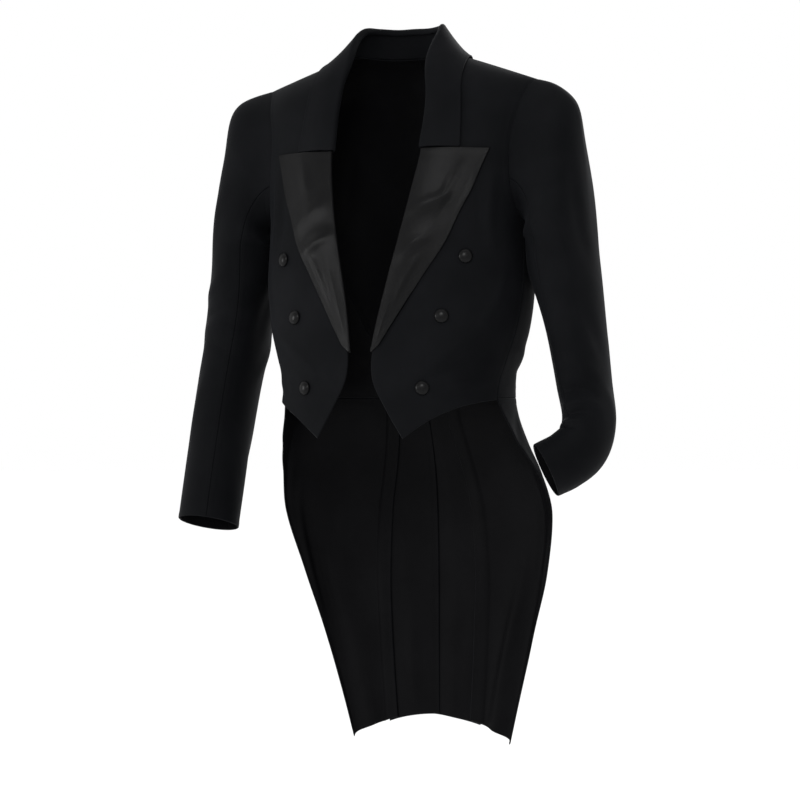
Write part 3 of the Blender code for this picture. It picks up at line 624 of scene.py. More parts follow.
def rounding(down):
    """Drop and share of the depth at a length down from the ridge."""
    turn = down / SHOULDER_RADIUS
    curved = np.abs(turn) < math.pi / 2
    straight = SHOULDER_RADIUS + np.abs(down) - SHOULDER_RADIUS * math.pi / 2
    drop = np.where(curved, SHOULDER_RADIUS * (1 - np.cos(turn)), straight)
    return drop, np.where(curved, np.sin(turn), np.sign(down))


def down_at(angle, height):
    """Length down from the ridge at a height."""
    drop = ridge_height(angle) - height
    curved = SHOULDER_RADIUS * np.arccos(np.clip(1 - drop / SHOULDER_RADIUS, -1, 1))
    return np.where(drop < SHOULDER_RADIUS, curved, SHOULDER_RADIUS * math.pi / 2 + drop - SHOULDER_RADIUS)


def height_at(angle, down):
    return ridge_height(angle) - rounding(down)[0]


def flute_height(angle, height):
    """How far a soft flute stands out of the tails."""
    fade = smooth((FLUTE_TOP - height) / (FLUTE_TOP - HEM_AT_EDGE))
    degrees = np.degrees(angle)
    return fade * sum(row.depth * np.exp(-(((degrees - row.angle) / row.spread) ** 2)) for row in FLUTES)


def body_point(angle, down):
    """Outer face of the left half of the body."""
    angle, down = np.broadcast_arrays(angle, down)
    drop, share = rounding(down)
    height = ridge_height(angle) - drop
    in_front = np.cos(angle) * share > 0
    depth = np.where(in_front, column(SECTIONS, "front", height), column(SECTIONS, "back", height))
    flute = flute_height(angle, height)
    return np.stack([
        column(SECTIONS, "half_width", height) * width_share(angle) + flute * np.sin(angle),
        column(SECTIONS, "centre", height) - depth * depth_share(angle) * share - flute * np.cos(angle),
        height,
    ], axis=-1)


def body_normal(angle, down):
    around = body_point(angle + NUDGE, down) - body_point(angle - NUDGE, down)
    along = body_point(angle, down + NUDGE) - body_point(angle, down - NUDGE)
    return unit(np.cross(along, around))


def relief(across, along, folds):
    """Height of the soft folds at places on a panel."""
    total = 0.0
    for fold in folds:
        turn = math.radians(fold.turn)
        right = across - fold.across
        up = along - fold.along
        run = (right * math.cos(turn) + up * math.sin(turn)) / fold.length
        aside = up * math.cos(turn) - right * math.sin(turn) + fold.bow * run ** 2
        fade = np.clip(1 - run ** 2, 0, 1) ** 2
        total = total + fold.height * fade * np.exp(-((aside / fold.width) ** 2))
    return total


def raised(angle, down, lift, side_name):
    """Points of the body with its folds, moved out by a lift."""
    folds = relief(angle * BODY_RADIUS, height_at(angle, down), BODY_FOLDS[side_name])
    return body_point(angle, down) + body_normal(angle, down) * (lift + folds)[..., None]


def angle_at(across, height):
    """Angle on the front half where the body is this far from the middle."""
    share = across / column(SECTIONS, "half_width", height)
    angle = np.arcsin(np.minimum(share, WIDEST_SHARE))
    for _ in range(ANGLE_ROUNDS):
        slope = np.cos(angle) * (1 + FULLNESS * (3 * np.cos(angle) ** 2 - 2))
        angle = angle - (width_share(angle) - share) / np.maximum(slope, LEAST_SLOPE)
    return angle


def seam_angle(rows, height):
    return np.radians(column(rows, "angle", height))


def step_angle(angle, down, length):
    """Change of angle that moves this far round the body."""
    around = body_point(angle + NUDGE, down) - body_point(angle - NUDGE, down)
    return length * 2 * NUDGE / np.linalg.norm(around, axis=-1)


def lines(length, start=0.0, end=1.0):
    """Shares along a length, at the usual step and closer together near both ends."""
    near = [line for line in EDGE_LINES if line < length / 2]
    inner = np.linspace(near[-1], length - near[-1], max(2, round((length - 2 * near[-1]) / STEP) + 1))
    places = np.concatenate([near[:-1], inner, [length - line for line in near[:-1][::-1]]])
    return mix(start, end, places / length)


def stretches(runs):
    """Shares along stretches that follow one another."""
    starts = [0.0] + [run.end for run in runs[:-1]]
    shares = [lines(run.length, start, run.end)[1:] for run, start in zip(runs, starts)]
    return np.concatenate([[0.0], *shares])


def front_edge_angle(height):
    return angle_at(column(FRONT_EDGE, "across", height), height)


def front_cut(wide, high):
    """Forepart: the front edge at 0 across, the side seam and armhole at 1."""
    rise = high / FRONT_SPLIT
    height = mix(column(FRONT_HEM, "height", wide), UNDERARM_HEIGHT, rise)
    seam = seam_angle(SIDE_SEAM, height)
    seam = seam - step_angle(seam, down_at(seam, height), SEAM_GAP / 2)
    low_angle = mix(front_edge_angle(height), seam, wide)
    low_down = down_at(low_angle, height)
    rise = np.clip((high - FRONT_SPLIT) / (1 - FRONT_SPLIT), 0, 1)
    edge = front_edge_angle(UNDERARM_HEIGHT)
    for _ in range(EDGE_ROUNDS):
        edge = front_edge_angle(height_at(edge, mix(down_at(edge, UNDERARM_HEIGHT), SEAM_GAP / 2, rise)))
    armhole = math.radians(ARMHOLE[-2].front_angle)
    seam_down = mix(down_at(armhole, UNDERARM_HEIGHT), SEAM_GAP / 2, rise)
    high_angle = mix(edge, np.radians(column(ARMHOLE, "front_angle", seam_down)), wide)
    high_down = mix(down_at(high_angle, UNDERARM_HEIGHT), SEAM_GAP / 2, rise)
    lower = np.broadcast_to(high < FRONT_SPLIT, low_angle.shape)
    return np.where(lower, low_angle, high_angle), np.where(lower, low_down, high_down), 0.0


def back_side_angle(down, height):
    """Side edge of the back: the side-back seam, then the armhole."""
    seam = seam_angle(BACK_SEAM, height)
    seam = seam + step_angle(seam, down_at(seam, height), SEAM_GAP / 2)
    return np.where(height < BACK_ARMHOLE_END, seam, np.radians(column(ARMHOLE, "back_angle", down)))


def neck_down(across):
    """How far the back's top edge lies below the ridge near the neck."""
    rows = [EdgeRow(row.neck_across, -row.neck_reach) for row in NECK if row.neck_reach <= 0]
    found = np.where(across >= rows[-1][0], 0.0, column(rows, "across", across))
    return np.maximum(found, SEAM_GAP / 2)


def hem_height(out):
    """Hem of the tails, curving down from the vent at 0 to the outer edge at 1."""
    return mix(HEM_AT_CENTRE, HEM_AT_EDGE, out * out)


def back_cut(wide, high, lap):
    """Back: the side edge at 0 across, the centre back at 1; the hem at 0 up."""
    foot = hem_height(BACK_HEM_SHARE * (1 - wide))
    tail = mix(foot, WAIST_SEAM, high / BACK_WAIST)
    trunk = mix(WAIST_SEAM, UNDERARM_HEIGHT, (high - BACK_WAIST) / (BACK_SPLIT - BACK_WAIST))
    height = np.where(high < BACK_WAIST, tail, trunk)
    centre = math.pi - step_angle(math.pi, down_at(math.pi, UNDERARM_HEIGHT), SEAM_GAP / 2)
    low_centre = np.broadcast_to(centre, height.shape)
    lift = np.zeros(height.shape)
    if lap:
        under = WAIST_SEAM - height
        lift = (CLOTH + LAID_GAP) * smooth((under + VENT_LIFT_LENGTH) / VENT_LIFT_LENGTH)
        lift = lift * smooth((wide - VENT_LIFT_START) / VENT_LIFT_SPREAD)
        lapped = step_angle(np.full(height.shape, math.pi), down_at(math.pi, height), VENT_LAP)
        low_centre = centre + lapped * smooth(under / VENT_STEP)
    else:
        tucked = step_angle(np.full(height.shape, math.pi), down_at(math.pi, height), VENT_TUCK)
        low_centre = centre + tucked * smooth(1 + (WAIST_SEAM - height) / VENT_TUCK_LENGTH)
    low_angle = mix(back_side_angle(0.0, height), low_centre, wide)
    low_down = down_at(low_angle, height)
    rise = np.clip((high - BACK_SPLIT) / (1 - BACK_SPLIT), 0, 1)
    side = seam_angle(BACK_SEAM, UNDERARM_HEIGHT)
    for _ in range(ANGLE_ROUNDS):
        down = mix(down_at(side, UNDERARM_HEIGHT), SEAM_GAP / 2, rise)
        side = back_side_angle(down, height_at(side, down))
    high_angle = mix(side, centre, wide)
    top = neck_down(TOP_HALF_WIDTH * width_share(high_angle))
    high_down = mix(down_at(high_angle, UNDERARM_HEIGHT), top, rise)
    lower = np.broadcast_to(high < BACK_SPLIT, low_angle.shape)
    angle = np.where(lower, low_angle, high_angle)
    return angle, np.where(lower, low_down, high_down), np.where(lower, lift, 0.0)


def side_body_top(wide):
    """Height of the side body's top edge, which keeps to the armhole between its two seams."""
    angle = mix(UNDERARM[0].angle, UNDERARM[-1].angle, wide)
    for _ in range(UNDERARM_ROUNDS):
        back_angle = column(BACK_SEAM, "angle", column(UNDERARM, "height", angle))
        angle = mix(angle, mix(UNDERARM[0].angle, back_angle, wide), 0.5)
    return column(UNDERARM, "height", angle)


def side_body_cut(wide, high):
    """Side body: the forepart's seam at 0 across, the back's at 1; the waist at 0 up."""
    height = mix(WAIST_SEAM + SEAM_GAP / 2, side_body_top(wide), high)
    first = seam_angle(SIDE_SEAM, np.minimum(height, UNDERARM_HEIGHT))
    second = seam_angle(BACK_SEAM, height)
    first = first + step_angle(first, down_at(first, height), SEAM_GAP / 2)
    second = second - step_angle(second, down_at(second, height), SEAM_GAP / 2)
    angle = mix(first, second, wide)
    return angle, down_at(angle, height), 0.0


def skirt_cut(wide, high):
    """Skirt: its free edge at 0 across, the part tucked under the back at 1."""
    top = WAIST_SEAM - SEAM_GAP / 2
    height = mix(hem_height(mix(1.0, BACK_HEM_SHARE, wide / SKIRT_FOLD)), top, high)
    edge = seam_angle(SKIRT_EDGE, height)
    pleat = seam_angle(BACK_SEAM, height)
    tuck = step_angle(pleat, down_at(pleat, height), PLEAT_TUCK)
    outside = mix(edge, pleat - tuck / 2, wide / SKIRT_FOLD)
    inside = mix(pleat - tuck / 2, pleat + tuck, (wide - SKIRT_FOLD) / (1 - SKIRT_FOLD))
    angle = np.where(wide < SKIRT_FOLD, outside, inside)
    before = (pleat - angle) * PLEAT_TUCK / tuck
    lift = -(CLOTH + LAID_GAP) * smooth((PLEAT_RAMP - before) / (PLEAT_RAMP - PLEAT_EDGE))
    return angle, down_at(angle, height), lift


def neck_value(name, share):
    return column(NECK, name, np.abs(share))


def shoulder_place(across, reach):
    """Angle and length down for a reach over the ridge, to the front if positive."""
    angle = angle_at(across, 0.0)
    return np.where(reach < 0, math.pi - angle, angle), np.abs(reach)


def neck_frame(share):
    """Edge of the neckline with the way out of the edge and the way out of the cloth."""
    angle, down = shoulder_place(neck_value("neck_across", share), neck_value("neck_reach", share))
    point = body_point(angle, down)
    outward = unit((point - np.array([0.0, NECK_MIDDLE, 0.0])) * np.array([1.0, 1.0, 0.0]))
    upright = unit(np.array([0.0, 0.0, 1.0]) - outward * STAND_LEAN)
    over = unit(body_point(angle - NUDGE, down) - body_point(angle + NUDGE, down))
    standing = smooth(neck_value("stand", share) * UPRIGHT_EASE)[..., None]
    edge = unit(over * (1 - standing) + upright * standing)
    face = body_normal(angle, down) * (1 - standing) + outward * standing
    face = unit(face - edge * dot(face, edge))
    return point, over * (1 - standing), edge, face


def mirrored(points, share):
    """The points on both sides of the middle, from those of the left side."""
    flip = np.where(np.broadcast_to(share, points.shape[:-1]) < 0, -1.0, 1.0)
    return points * np.stack([flip, np.ones_like(flip), np.ones_like(flip)], axis=-1)


def stand_points(wide, high):
    """Collar stand: right front at 0 across, left front at 1; the neck seam at 0 up."""
    share = mix(-STAND_END, STAND_END, wide)
    point, aside, edge, face = neck_frame(share)
    rise = mix(LAID_GAP, STAND_HEIGHT * neck_value("stand", share), high)
    return mirrored(point + aside * (2 * LAID_GAP) + edge * rise[..., None] - face * LAID_GAP, share)


def folded(point, edge, face, base, rise, roll, thickness, high):
    """Cloth folded over an edge: its start behind the edge at 0 up, its free edge at 1."""
    lift = thickness + LAID_GAP
    radius = CLOTH / 2 + lift
    core = point + edge * np.asarray(rise)[..., None] - face * (CLOTH / 2 + LAID_GAP)

    def round_edge(turn):
        return core + edge * (radius * np.cos(turn))[..., None] + face * (radius * np.sin(turn))[..., None]

    over = round_edge(mix(FOLD_START, FOLD_END, np.clip(high / FOLD_SHARE, 0, 1)))
    share = np.clip((high - FOLD_SHARE) / (1 - FOLD_SHARE), 0, 1)
    laid, normal = base(share)
    foot, foot_normal = base(np.zeros_like(share))
    swell = roll * np.sin(math.pi * share) * (1 - share)
    held = ((1 - share) ** FOLD_EASE)[..., None]
    start = round_edge(np.full_like(share, FOLD_END))
    rest = laid + normal * (lift + swell)[..., None] + (start - foot - foot_normal * lift) * held
    return np.where(np.broadcast_to(high < FOLD_SHARE, share.shape)[..., None], over, rest)


def fall_points(wide, high):
    """Collar fall: right gorge at 0 across, left gorge at 1; its outer edge at 0 up."""
    wide, high = np.broadcast_arrays(wide, high)
    share = mix(-1.0, 1.0, wide)
    point, _, edge, face = neck_frame(share)

    def base(out):
        across = mix(neck_value("neck_across", share), neck_value("edge_across", share), out)
        reach = mix(neck_value("neck_reach", share), neck_value("edge_reach", share), out)
        angle, down = shoulder_place(across, reach)
        return body_point(angle, down), body_normal(angle, down)

    standing = neck_value("stand", share)
    rise = STAND_HEIGHT * standing + SEAM_GAP
    roll = LAPEL_ROLL * (1 - standing)
    return mirrored(folded(point, edge, face, base, rise, roll, CLOTH, 1 - high), share)


def lapel_points(wide, high, side_name):
    """Lapel: behind the roll at 0 across, its outer edge at 1; the roll's end at 0 up."""
    wide, high = np.broadcast_arrays(wide, high)
    roll_height = mix(ROLL_END, GORGE_HEIGHT - SEAM_GAP, high)
    edge_height = mix(LAPEL_EDGE[-1].height, LAPEL_EDGE[0].height, high)
    angle = front_edge_angle(roll_height)
    down = down_at(angle, roll_height)
    outer = angle_at(column(LAPEL_EDGE, "across", edge_height), edge_height)
    creases = relief(wide, high, LAPEL_FOLDS[side_name])

    def base(out):
        here = mix(angle, outer, out)
        below = down_at(here, mix(roll_height, edge_height, out))
        return raised(here, below, 0.0, side_name), body_normal(here, below)

    point, face = base(np.zeros_like(wide))
    edge = unit(body_point(angle - NUDGE, down) - body_point(angle + NUDGE, down))
    roll = LAPEL_ROLL * smooth((roll_height - ROLL_END) / LAPEL_ROLL_LENGTH)
    laid = folded(point, edge, face, base, np.full(wide.shape, LAID_GAP), roll, SATIN, wide)
    return laid + face * creases[..., None]


def armhole_curve():
    """Closed armhole from the shoulder tip down the front and up the back, and its lengths."""
    shares = np.linspace(0, 1, ARMHOLE_STEPS + 1)
    down = down_at(math.radians(UNDERARM[0].angle), UNDERARM_HEIGHT) * shares
    front = body_point(np.radians(column(ARMHOLE, "front_angle", down)), down)
    degrees = mix(UNDERARM[0].angle, UNDERARM[-1].angle, shares)
    angle = np.radians(degrees)
    under = body_point(angle, down_at(angle, column(UNDERARM, "height", degrees)))
    down = down_at(math.radians(UNDERARM[-1].angle), BACK_ARMHOLE_END) * shares[::-1]
    back = body_point(np.radians(column(ARMHOLE, "back_angle", down)), down)
    points = np.concatenate([front, under[1:], back[1:]])
    steps = np.linalg.norm(np.diff(points, axis=0), axis=1)
    return points, np.concatenate([[0.0], np.cumsum(steps)])


ARMHOLE_POINTS, ARMHOLE_LENGTHS = armhole_curve()
ARMHOLE_HALF = ARMHOLE_LENGTHS[ARMHOLE_POINTS[:, 2].argmin()]


def armhole_point(turn):
    """Point of the armhole at a share of a full turn, from the shoulder tip."""
    turn = turn % 1.0
    wanted = np.where(
        turn < 0.5, ARMHOLE_HALF * turn * 2, mix(ARMHOLE_HALF, ARMHOLE_LENGTHS[-1], turn * 2 - 1)
    )
    return np.stack([np.interp(wanted, ARMHOLE_LENGTHS, values) for values in ARMHOLE_POINTS.T], axis=-1)


def sleeve_middle(places, at):
    return np.stack([column(places, name, at) for name in ("across", "forth", "height")], axis=-1)


def sleeve_ring(rows, at):
    """Middle and direction of the sleeve at places along its table, and the table."""
    places = [SleeveRow(index, *row) for index, row in enumerate(rows)]
    direction = unit(sleeve_middle(places, at + RING_NUDGE) - sleeve_middle(places, at - RING_NUDGE))
    return sleeve_middle(places, at), direction, places


def ring_point(rows, at, turn):
    middle, direction, places = sleeve_ring(rows, at)
    outward = np.array([1.0, 0.0, 0.0])
    outward = unit(outward - direction * dot(outward, direction))
    forward = np.cross(direction, outward)
    forward = forward * np.where(forward[..., 1:2] > 0, -1.0, 1.0)
    half_across = (column(places, "half_across", at) * np.cos(turn))[..., None]
    half_deep = (column(places, "half_deep", at) * np.sin(turn))[..., None]
    return middle + outward * half_across + forward * half_deep


def sleeve_base(rows, turn, high):
    """Sleeve: the cuff at 0 up, the armhole at 1; turn runs from the outside to the front."""
    turn, high = np.broadcast_arrays(turn, high)
    last = len(rows) - 1
    arm = ring_point(rows, last * (1 - np.clip(high / CAP_START, 0, 1)), turn)
    share = np.clip((1 - high) / (1 - CAP_START), 0, 1)
    top = (1 + np.cos(turn)) / 2
    start = armhole_point(turn / math.tau) - np.array([SLEEVE_TUCK, 0.0, 0.0])
    end = ring_point(rows, np.zeros_like(turn), turn)
    direction = sleeve_ring(rows, 0.0)[1]
    leaving = np.stack([mix(*LEAVING_OUT, top), np.zeros_like(top), mix(*LEAVING_UP, top)], axis=-1)
    arriving = direction * mix(*ARRIVING, top ** ARRIVING_EASE)[..., None]
    cap = curve(start, leaving, end, arriving, share[..., None])
    return np.where((high < CAP_START)[..., None], arm, cap)


def sleeve_points(side_name, turn, high):
    """Sleeve with its folds, which run on over both seams."""
    rows = SLEEVES[side_name]
    around = sleeve_base(rows, turn + NUDGE, high) - sleeve_base(rows, turn - NUDGE, high)
    along = sleeve_base(rows, turn, high + NUDGE) - sleeve_base(rows, turn, high - NUDGE)
    normal = unit(np.cross(along, around))
    folds = sum(
        relief((turn + shift) * SLEEVE_RADIUS, high * SLEEVE_LENGTH, SLEEVE_FOLDS[side_name])
        for shift in (-math.tau, 0.0, math.tau)
    )
    return sleeve_base(rows, turn, high) + normal * folds[..., None]


def clear_of_side(points, side_name):
    """Sleeve points that would reach through the side of the body, moved out to lie on it."""
    height = points[..., 2]
    angle = np.full(height.shape, math.pi / 2)
    for _ in range(RESTING_ROUNDS):
        missing = points[..., 1] - body_point(angle, down_at(angle, height))[..., 1]
        in_front = angle < math.pi / 2
        depth = np.where(in_front, column(SECTIONS, "front", height), column(SECTIONS, "back", height))
        angle = np.clip(angle + missing / depth / (1 + FULLNESS), *RESTING_LIMITS)
    face = raised(angle, down_at(angle, height), LAID_GAP, side_name)
    under = smooth((column(UNDERARM, "height", np.degrees(angle)) - height) / RESTING_EASE)
    short = np.maximum(face[..., 0] - points[..., 0], 0.0) * under
    return points + short[..., None] * np.array([1.0, 0.0, 0.0])


def grid_normals(points):
    return unit(np.cross(np.gradient(points, axis=1), np.gradient(points, axis=0)))


def travelled(points, axis):
    """Length along a grid's rows or columns, from its first line."""
    steps = np.linalg.norm(np.diff(points, axis=axis), axis=-1)
    return np.insert(np.cumsum(steps, axis=axis), 0, 0.0, axis=axis)


def border(rows, columns):
    """Indices of a grid's edge, once round it."""
    number = np.arange(rows * columns).reshape(rows, columns)
    return np.concatenate([number[0, :-1], number[:-1, -1], number[-1, :0:-1], number[:0:-1, 0]])


def cloth_shell(node, points, thickness, outer_finish, inner_finish, side, cut):
    """Shell of cloth over a grid of its outer face, with pressed and rounded edges."""
    if side < 0:
        points = points[:, ::-1] * np.array([-1.0, 1.0, 1.0])
    rows, columns = points.shape[:2]
    across = travelled(points, 1)
    along = travelled(points, 0)
    inset = np.minimum.reduce([across, across[:, -1:] - across, along, along[-1:] - along])
    swell = EDGE_SWELL * (1 - smooth((inset - EDGE_PRESSED) / EDGE_FADE))
    points = points + grid_normals(points) * swell[..., None]
    normals = grid_normals(points)
    face = points.copy()
    rim = points - normals * thickness / 2
    for here, near in ((np.s_[:, 0], np.s_[:, 1]), (np.s_[:, -1], np.s_[:, -2]), (0, 1), (-1, -2)):
        inward = unit(points[near] - points[here])
        face[here] += inward * EDGE_ROUND
        rim[here] -= inward * SEAM_CLOSE
    rim = rim.reshape(-1, 3)
    loop = border(rows, columns)
    count = rows * columns
    places = np.concatenate([
        face.reshape(-1, 3), (face - normals * thickness).reshape(-1, 3), rim[loop],
    ])
    number = np.arange(count).reshape(rows, columns)
    front = np.stack([number[:-1, :-1], number[:-1, 1:], number[1:, 1:], number[1:, :-1]], axis=-1)
    front = front.reshape(-1, 4)
    behind = front[:, ::-1] + count
    middle = np.arange(len(loop)) + 2 * count
    first = np.stack([loop, middle, np.roll(middle, -1), np.roll(loop, -1)], axis=-1)
    second = np.stack([middle, loop + count, np.roll(loop, -1) + count, np.roll(middle, -1)], axis=-1)
    faces = np.concatenate([front, first, second, behind])
    name = "cloth_" + node
    mesh = bpy.data.meshes.new(name)
    mesh.from_pydata(places.tolist(), [], faces.tolist())
    weave = np.stack([across, along], axis=-1).reshape(-1, 2)
    weave = np.concatenate([weave, weave, weave[loop]])
    layer = mesh.uv_layers.new(name="weave")
    layer.data.foreach_set("uv", weave[faces.reshape(-1)].astype(np.float32).reshape(-1))
    mesh.materials.append(outer_finish)
    mesh.materials.append(inner_finish)
    inside = np.zeros(len(faces), np.int32)
    inside[len(faces) - len(behind):] = 1
    mesh.polygons.foreach_set("material_index", inside)
    mesh.shade_smooth()
    piece = bpy.data.objects.new(name, mesh)
    bpy.context.scene.collection.objects.link(piece)
    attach(piece, "root")
    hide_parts(node)
    return piece


def sided(cut, side_name):
    """The cut of a piece with the names of its neighbours on this side."""
    names = tuple(name if name.startswith("collar") else f"{name}_{side_name}" for name in cut.rests_on)
    return cut._replace(rests_on=names)


def build_body(side_name, side):
    """The four body panels of one side."""
    def back_place(wide, high):
        return back_cut(wide, high, side_name == "left")

    places = {"front": front_cut, "side_body": side_body_cut, "skirt": skirt_cut, "back": back_place}
    for part_name, place in places.items():
        wide = stretches(ACROSS[part_name])[None, :]
        high = stretches(ALONG[part_name])[:, None]
        angle, down, lift = place(wide, high)
        points = raised(angle, down, lift, side_name)
        cut = sided(CUTS[part_name], side_name)
        cloth_shell(f"{part_name}_{side_name}", points, CLOTH, wool, lining, side, cut)


def build_sleeve(side_name, side):
    gap = SEAM_GAP / 2 / SLEEVES[side_name][0].half_deep
    seams = {
        "top_sleeve": (SLEEVE_FRONT_SEAM - gap, SLEEVE_BACK_SEAM - math.tau + gap),
        "under_sleeve": (SLEEVE_BACK_SEAM - gap, SLEEVE_FRONT_SEAM + gap),
    }
    high = stretches(ALONG["sleeve"])[:, None]
    for part_name, (first, last) in seams.items():
        turn = mix(first, last, stretches(ACROSS[part_name]))[None, :]
        points = clear_of_side(sleeve_points(side_name, turn, high), side_name)
        cut = sided(CUTS[part_name], side_name)
        cloth_shell(f"{part_name}_{side_name}", points, CLOTH, wool, lining, side, cut)


def build_lapel(side_name, side):
    over = np.linspace(0, FOLD_SHARE, FOLD_STEPS)
    wide = np.concatenate([over, lines(LAPEL_WIDTH, FOLD_SHARE, 1.0)[1:]])
    points = lapel_points(wide[None, :], stretches(ALONG["lapel"])[:, None], side_name)
    cloth_shell("lapel_" + side_name, points, SATIN, satin, wool, side, sided(CUTS["lapel"], side_name))


def build_collar():
    wide = stretches(ACROSS["collar_stand"])[None, :]
    points = stand_points(wide, stretches(ALONG["collar_stand"])[:, None])
    cloth_shell("collar_stand", points, CLOTH, wool, wool, 1, CUTS["collar_stand"])
    over = np.linspace(1 - FOLD_SHARE, 1, FOLD_STEPS)[1:]
    high = np.concatenate([lines(FALL_WIDTH, 0.0, 1 - FOLD_SHARE), over])
    points = fall_points(stretches(ACROSS["collar_fall"])[None, :], high[:, None])
    cloth_shell("collar_fall", points, CLOTH, wool, wool, 1, CUTS["collar_fall"])


def add_button(node, width, point, normal, side):
    """Covered button, turned from its section and set on the cloth along the normal."""
    turns = np.linspace(0, math.tau, BUTTON_STEPS, endpoint=False)
    out = np.array([row.out for row in BUTTON_PROFILE[1:-1]]) * width / 2
    up = np.array([row.up for row in BUTTON_PROFILE[1:-1]]) * width * BUTTON_RISE
    ring = np.stack([np.cos(turns), np.sin(turns)], axis=-1)
    rings = [np.column_stack([ring * radius, np.full(BUTTON_STEPS, rise)]) for radius, rise in zip(out, up)]
    places = np.concatenate([*rings, [[0, 0, width * BUTTON_RISE], [0, 0, 0]]])
    around = np.arange(BUTTON_STEPS)
    after = np.roll(around, -1)
    faces = []
    for index in range(len(rings) - 1):
        near = index * BUTTON_STEPS
        far = near + BUTTON_STEPS
        faces += np.stack([near + around, far + around, far + after, near + after], axis=-1).tolist()
    top = len(places) - 2
    last = (len(rings) - 1) * BUTTON_STEPS
    faces += np.stack([np.full(BUTTON_STEPS, top), around, after], axis=-1).tolist()
    faces += np.stack([np.full(BUTTON_STEPS, top + 1), last + after, last + around], axis=-1).tolist()
    mesh = bpy.data.meshes.new("cover_" + node)
    mesh.from_pydata(places.tolist(), [], faces)
    mesh.materials.append(covered)
    mesh.shade_smooth()
    piece = bpy.data.objects.new("cover_" + node, mesh)
    bpy.context.scene.collection.objects.link(piece)
    mirror = np.array([side, 1.0, 1.0])
    piece.location = (point + normal * SEAM_GAP) * mirror
    piece.rotation_euler = Vector(normal * mirror).to_track_quat("Z", "Y").to_euler()
    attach(piece, "root")
    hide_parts(node)


def build_buttons(side_name, side):
    for index, row in enumerate(FRONT_BUTTONS):
        angle = angle_at(row.across, row.height)
        down = down_at(angle, row.height)
        point = raised(angle, down, 0.0, side_name)
        node = f"front_button_{side_name}_{index + 1}"
        add_button(node, FRONT_BUTTON_WIDTH, point, body_normal(angle, down), side)
    angle = seam_angle(BACK_SEAM, WAIST_BUTTON_HEIGHT)
    down = down_at(angle, WAIST_BUTTON_HEIGHT)
    point = raised(angle, down, WAIST_BUTTON_EASE, side_name)
    add_button("waist_button_" + side_name, WAIST_BUTTON_WIDTH, point, body_normal(angle, down), side)
    turn = CUFF_BUTTON_ANGLE
    high = 0.0
    travel = CUFF_BUTTON_START
    for index in range(CUFF_BUTTONS):
        for _ in range(CUFF_BUTTON_TRIES):
            ahead = sleeve_points(side_name, turn, high + NUDGE) - sleeve_points(side_name, turn, high)
            high += travel / CUFF_BUTTON_TRIES * NUDGE / np.linalg.norm(ahead)
        travel = CUFF_BUTTON_STEP
        around = sleeve_points(side_name, turn - NUDGE, high) - sleeve_points(side_name, turn + NUDGE, high)
        along = sleeve_points(side_name, turn, high + NUDGE) - sleeve_points(side_name, turn, high - NUDGE)
        point = sleeve_points(side_name, turn, high)
        normal = unit(np.cross(around, along))
        add_button(f"cuff_button_{side_name}_{index + 1}", CUFF_BUTTON_WIDTH, point, normal, side)


class Finish:
    """A Principled material that is put together a node at a time."""

    def __init__(self, name, **sockets):
        self.material = bpy.data.materials.new(name)
        self.material.use_nodes = True
        self.tree = self.material.node_tree
        self.shader = self.tree.nodes["Principled BSDF"]
        for socket, value in sockets.items():
            self.shader.inputs[socket.replace("_", " ")].default_value = value

    def node(self, kind, settings=None, **inputs):
        made = self.tree.nodes.new("ShaderNode" + kind)
        for key, value in (settings or {}).items():
            setattr(made, key, value)
        for key, value in inputs.items():
            socket = made.inputs[key.replace("_", " ")]
            if isinstance(value, bpy.types.NodeSocket):
                self.tree.links.new(value, socket)
            else:
                socket.default_value = value
        return made

    def link(self, output, socket):
        self.tree.links.new(output, self.shader.inputs[socket])


def woven_finish(name):
    """Woven cloth: twill lines, uneven yarns, faint shading and soft puckers."""
    weave = WEAVES[name]
    finish = Finish(name, **weave.shader)
    place = finish.node("UVMap", {"uv_map": "weave"}).outputs["UV"]
    solid = finish.node("TexCoord").outputs["Object"]
    turned = finish.node("Mapping", Vector=place, Rotation=(0, 0, math.radians(weave.turn))).outputs["Vector"]
    lines_at = finish.node("TexWave", Vector=turned, Scale=WAVE_SCALE / weave.twill, **TWILL_WAVE)
    yarn = finish.node("TexNoise", Vector=place, Scale=weave.grain, **YARN_NOISE)
    cloud = finish.node("TexNoise", Vector=solid, **CLOUD_NOISE)
    drift = finish.node("TexNoise", Vector=solid, **DRIFT_NOISE)
    shade = finish.node("MapRange", Value=cloud.outputs["Fac"], **CLOUD_RANGE)
    colour = finish.node("Mix", {"data_type": "RGBA"})
    finish.tree.links.new(shade.outputs["Result"], colour.inputs["Factor"])
    for socket in colour.inputs:
        if socket.type == "RGBA":
            socket.default_value = (*(weave.dark if socket.name == "A" else weave.light), 1.0)
    made = [socket for socket in colour.outputs if socket.type == "RGBA"][0]
    finish.link(made, "Base Color")
    dull = finish.node("MapRange", Value=yarn.outputs["Fac"], To_Min=weave.rough[0], To_Max=weave.rough[1])
    finish.link(dull.outputs["Result"], "Roughness")
    soft = finish.node("Bump", Height=drift.outputs["Fac"], Strength=1.0, Distance=weave.pucker)
    rib = finish.node("Bump", Height=lines_at.outputs["Fac"], **RIB_BUMP)
    fibre = finish.node("Bump", Height=yarn.outputs["Fac"], **FIBRE_BUMP)
    finish.tree.links.new(soft.outputs["Normal"], rib.inputs["Normal"])
    finish.tree.links.new(rib.outputs["Normal"], fibre.inputs["Normal"])
    finish.link(fibre.outputs["Normal"], "Normal")
    return finish.material


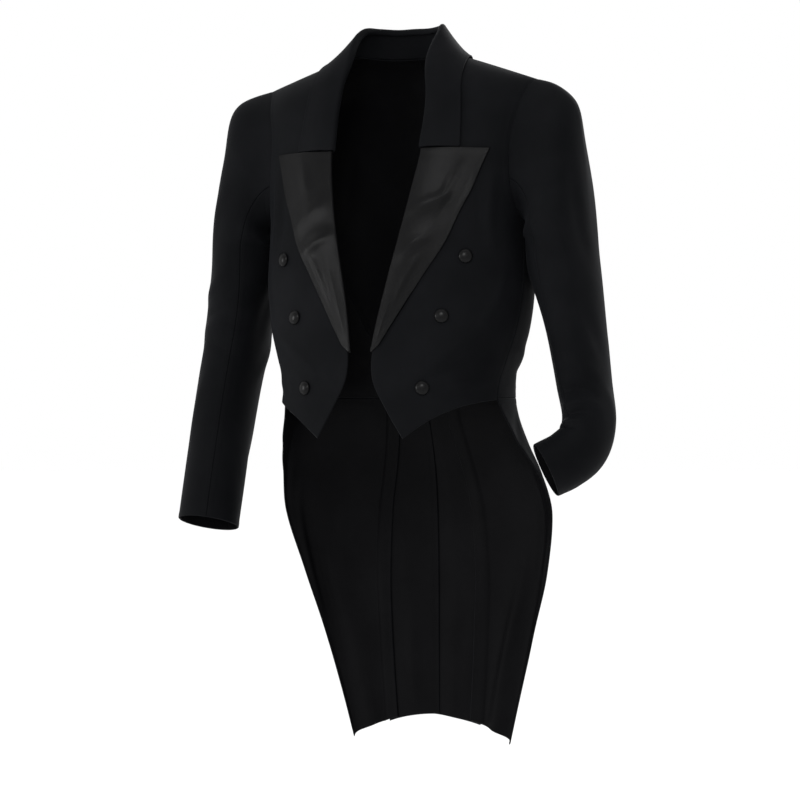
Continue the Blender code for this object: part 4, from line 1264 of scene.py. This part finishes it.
def build_floor():
    turns = np.linspace(0, math.tau, FLOOR_SIDES, endpoint=False)
    ring = np.column_stack([np.cos(turns), np.sin(turns), np.zeros(FLOOR_SIDES)]) * FLOOR_RADIUS
    mesh = bpy.data.meshes.new("floor")
    mesh.from_pydata((ring + np.array([0, 0, FLOOR_HEIGHT])).tolist(), [], [list(range(FLOOR_SIDES))])
    mesh.materials.append(Finish("pale_floor", **FLOOR_LOOK).material)
    floor = bpy.data.objects.new("floor", mesh)
    bpy.context.scene.collection.objects.link(floor)


def add_light(lamp):
    data = bpy.data.lights.new(lamp.name, "AREA")
    data.shape = "RECTANGLE"
    data.size, data.size_y = lamp.size
    data.energy = lamp.power
    light = bpy.data.objects.new(lamp.name, data)
    light.location = lamp.place
    light.rotation_euler = (Vector(LAMP_AIM) - Vector(lamp.place)).to_track_quat("-Z", "Y").to_euler()
    bpy.context.scene.collection.objects.link(light)


def build_studio():
    world = bpy.data.worlds.new("studio")
    world.use_nodes = True
    background = world.node_tree.nodes["Background"]
    background.inputs["Color"].default_value = (1.0, 1.0, 1.0, 1.0)
    background.inputs["Strength"].default_value = 1.0
    bpy.context.scene.world = world
    bpy.context.scene.view_settings.view_transform = "Standard"
    for lamp in LAMPS:
        add_light(lamp)
    sky = bpy.data.lights.new("sky", "SUN")
    sky.energy = SKY_POWER
    sky.angle = SKY_SPREAD
    bpy.context.scene.collection.objects.link(bpy.data.objects.new("sky", sky))


def build_camera():
    data = bpy.data.cameras.new("camera")
    data.lens = CAMERA_LENS
    data.sensor_width = CAMERA_SENSOR
    camera = bpy.data.objects.new("camera", data)
    away = Vector((math.sin(CAMERA_TURN), -math.cos(CAMERA_TURN), 0.0)) * CAMERA_AWAY
    camera.location = Vector(CAMERA_AIM) + away
    camera.rotation_euler = (-away).to_track_quat("-Z", "Y").to_euler()
    bpy.context.scene.collection.objects.link(camera)
    bpy.context.scene.camera = camera


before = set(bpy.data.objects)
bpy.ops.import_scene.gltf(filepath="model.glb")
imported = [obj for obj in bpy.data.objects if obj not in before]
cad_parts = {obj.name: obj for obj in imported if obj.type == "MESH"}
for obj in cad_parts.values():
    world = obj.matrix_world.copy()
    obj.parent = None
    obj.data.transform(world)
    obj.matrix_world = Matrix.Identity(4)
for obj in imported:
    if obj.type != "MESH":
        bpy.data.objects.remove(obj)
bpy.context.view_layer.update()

wool = woven_finish("black_worsted")
lining = woven_finish("dark_inside")
satin = woven_finish("black_silk_satin")
covered = woven_finish("covered_button")

build_collar()
for side_name, side in SIDES.items():
    build_body(side_name, side)
    build_lapel(side_name, side)
    build_sleeve(side_name, side)
    build_buttons(side_name, side)
build_floor()
build_studio()
build_camera()
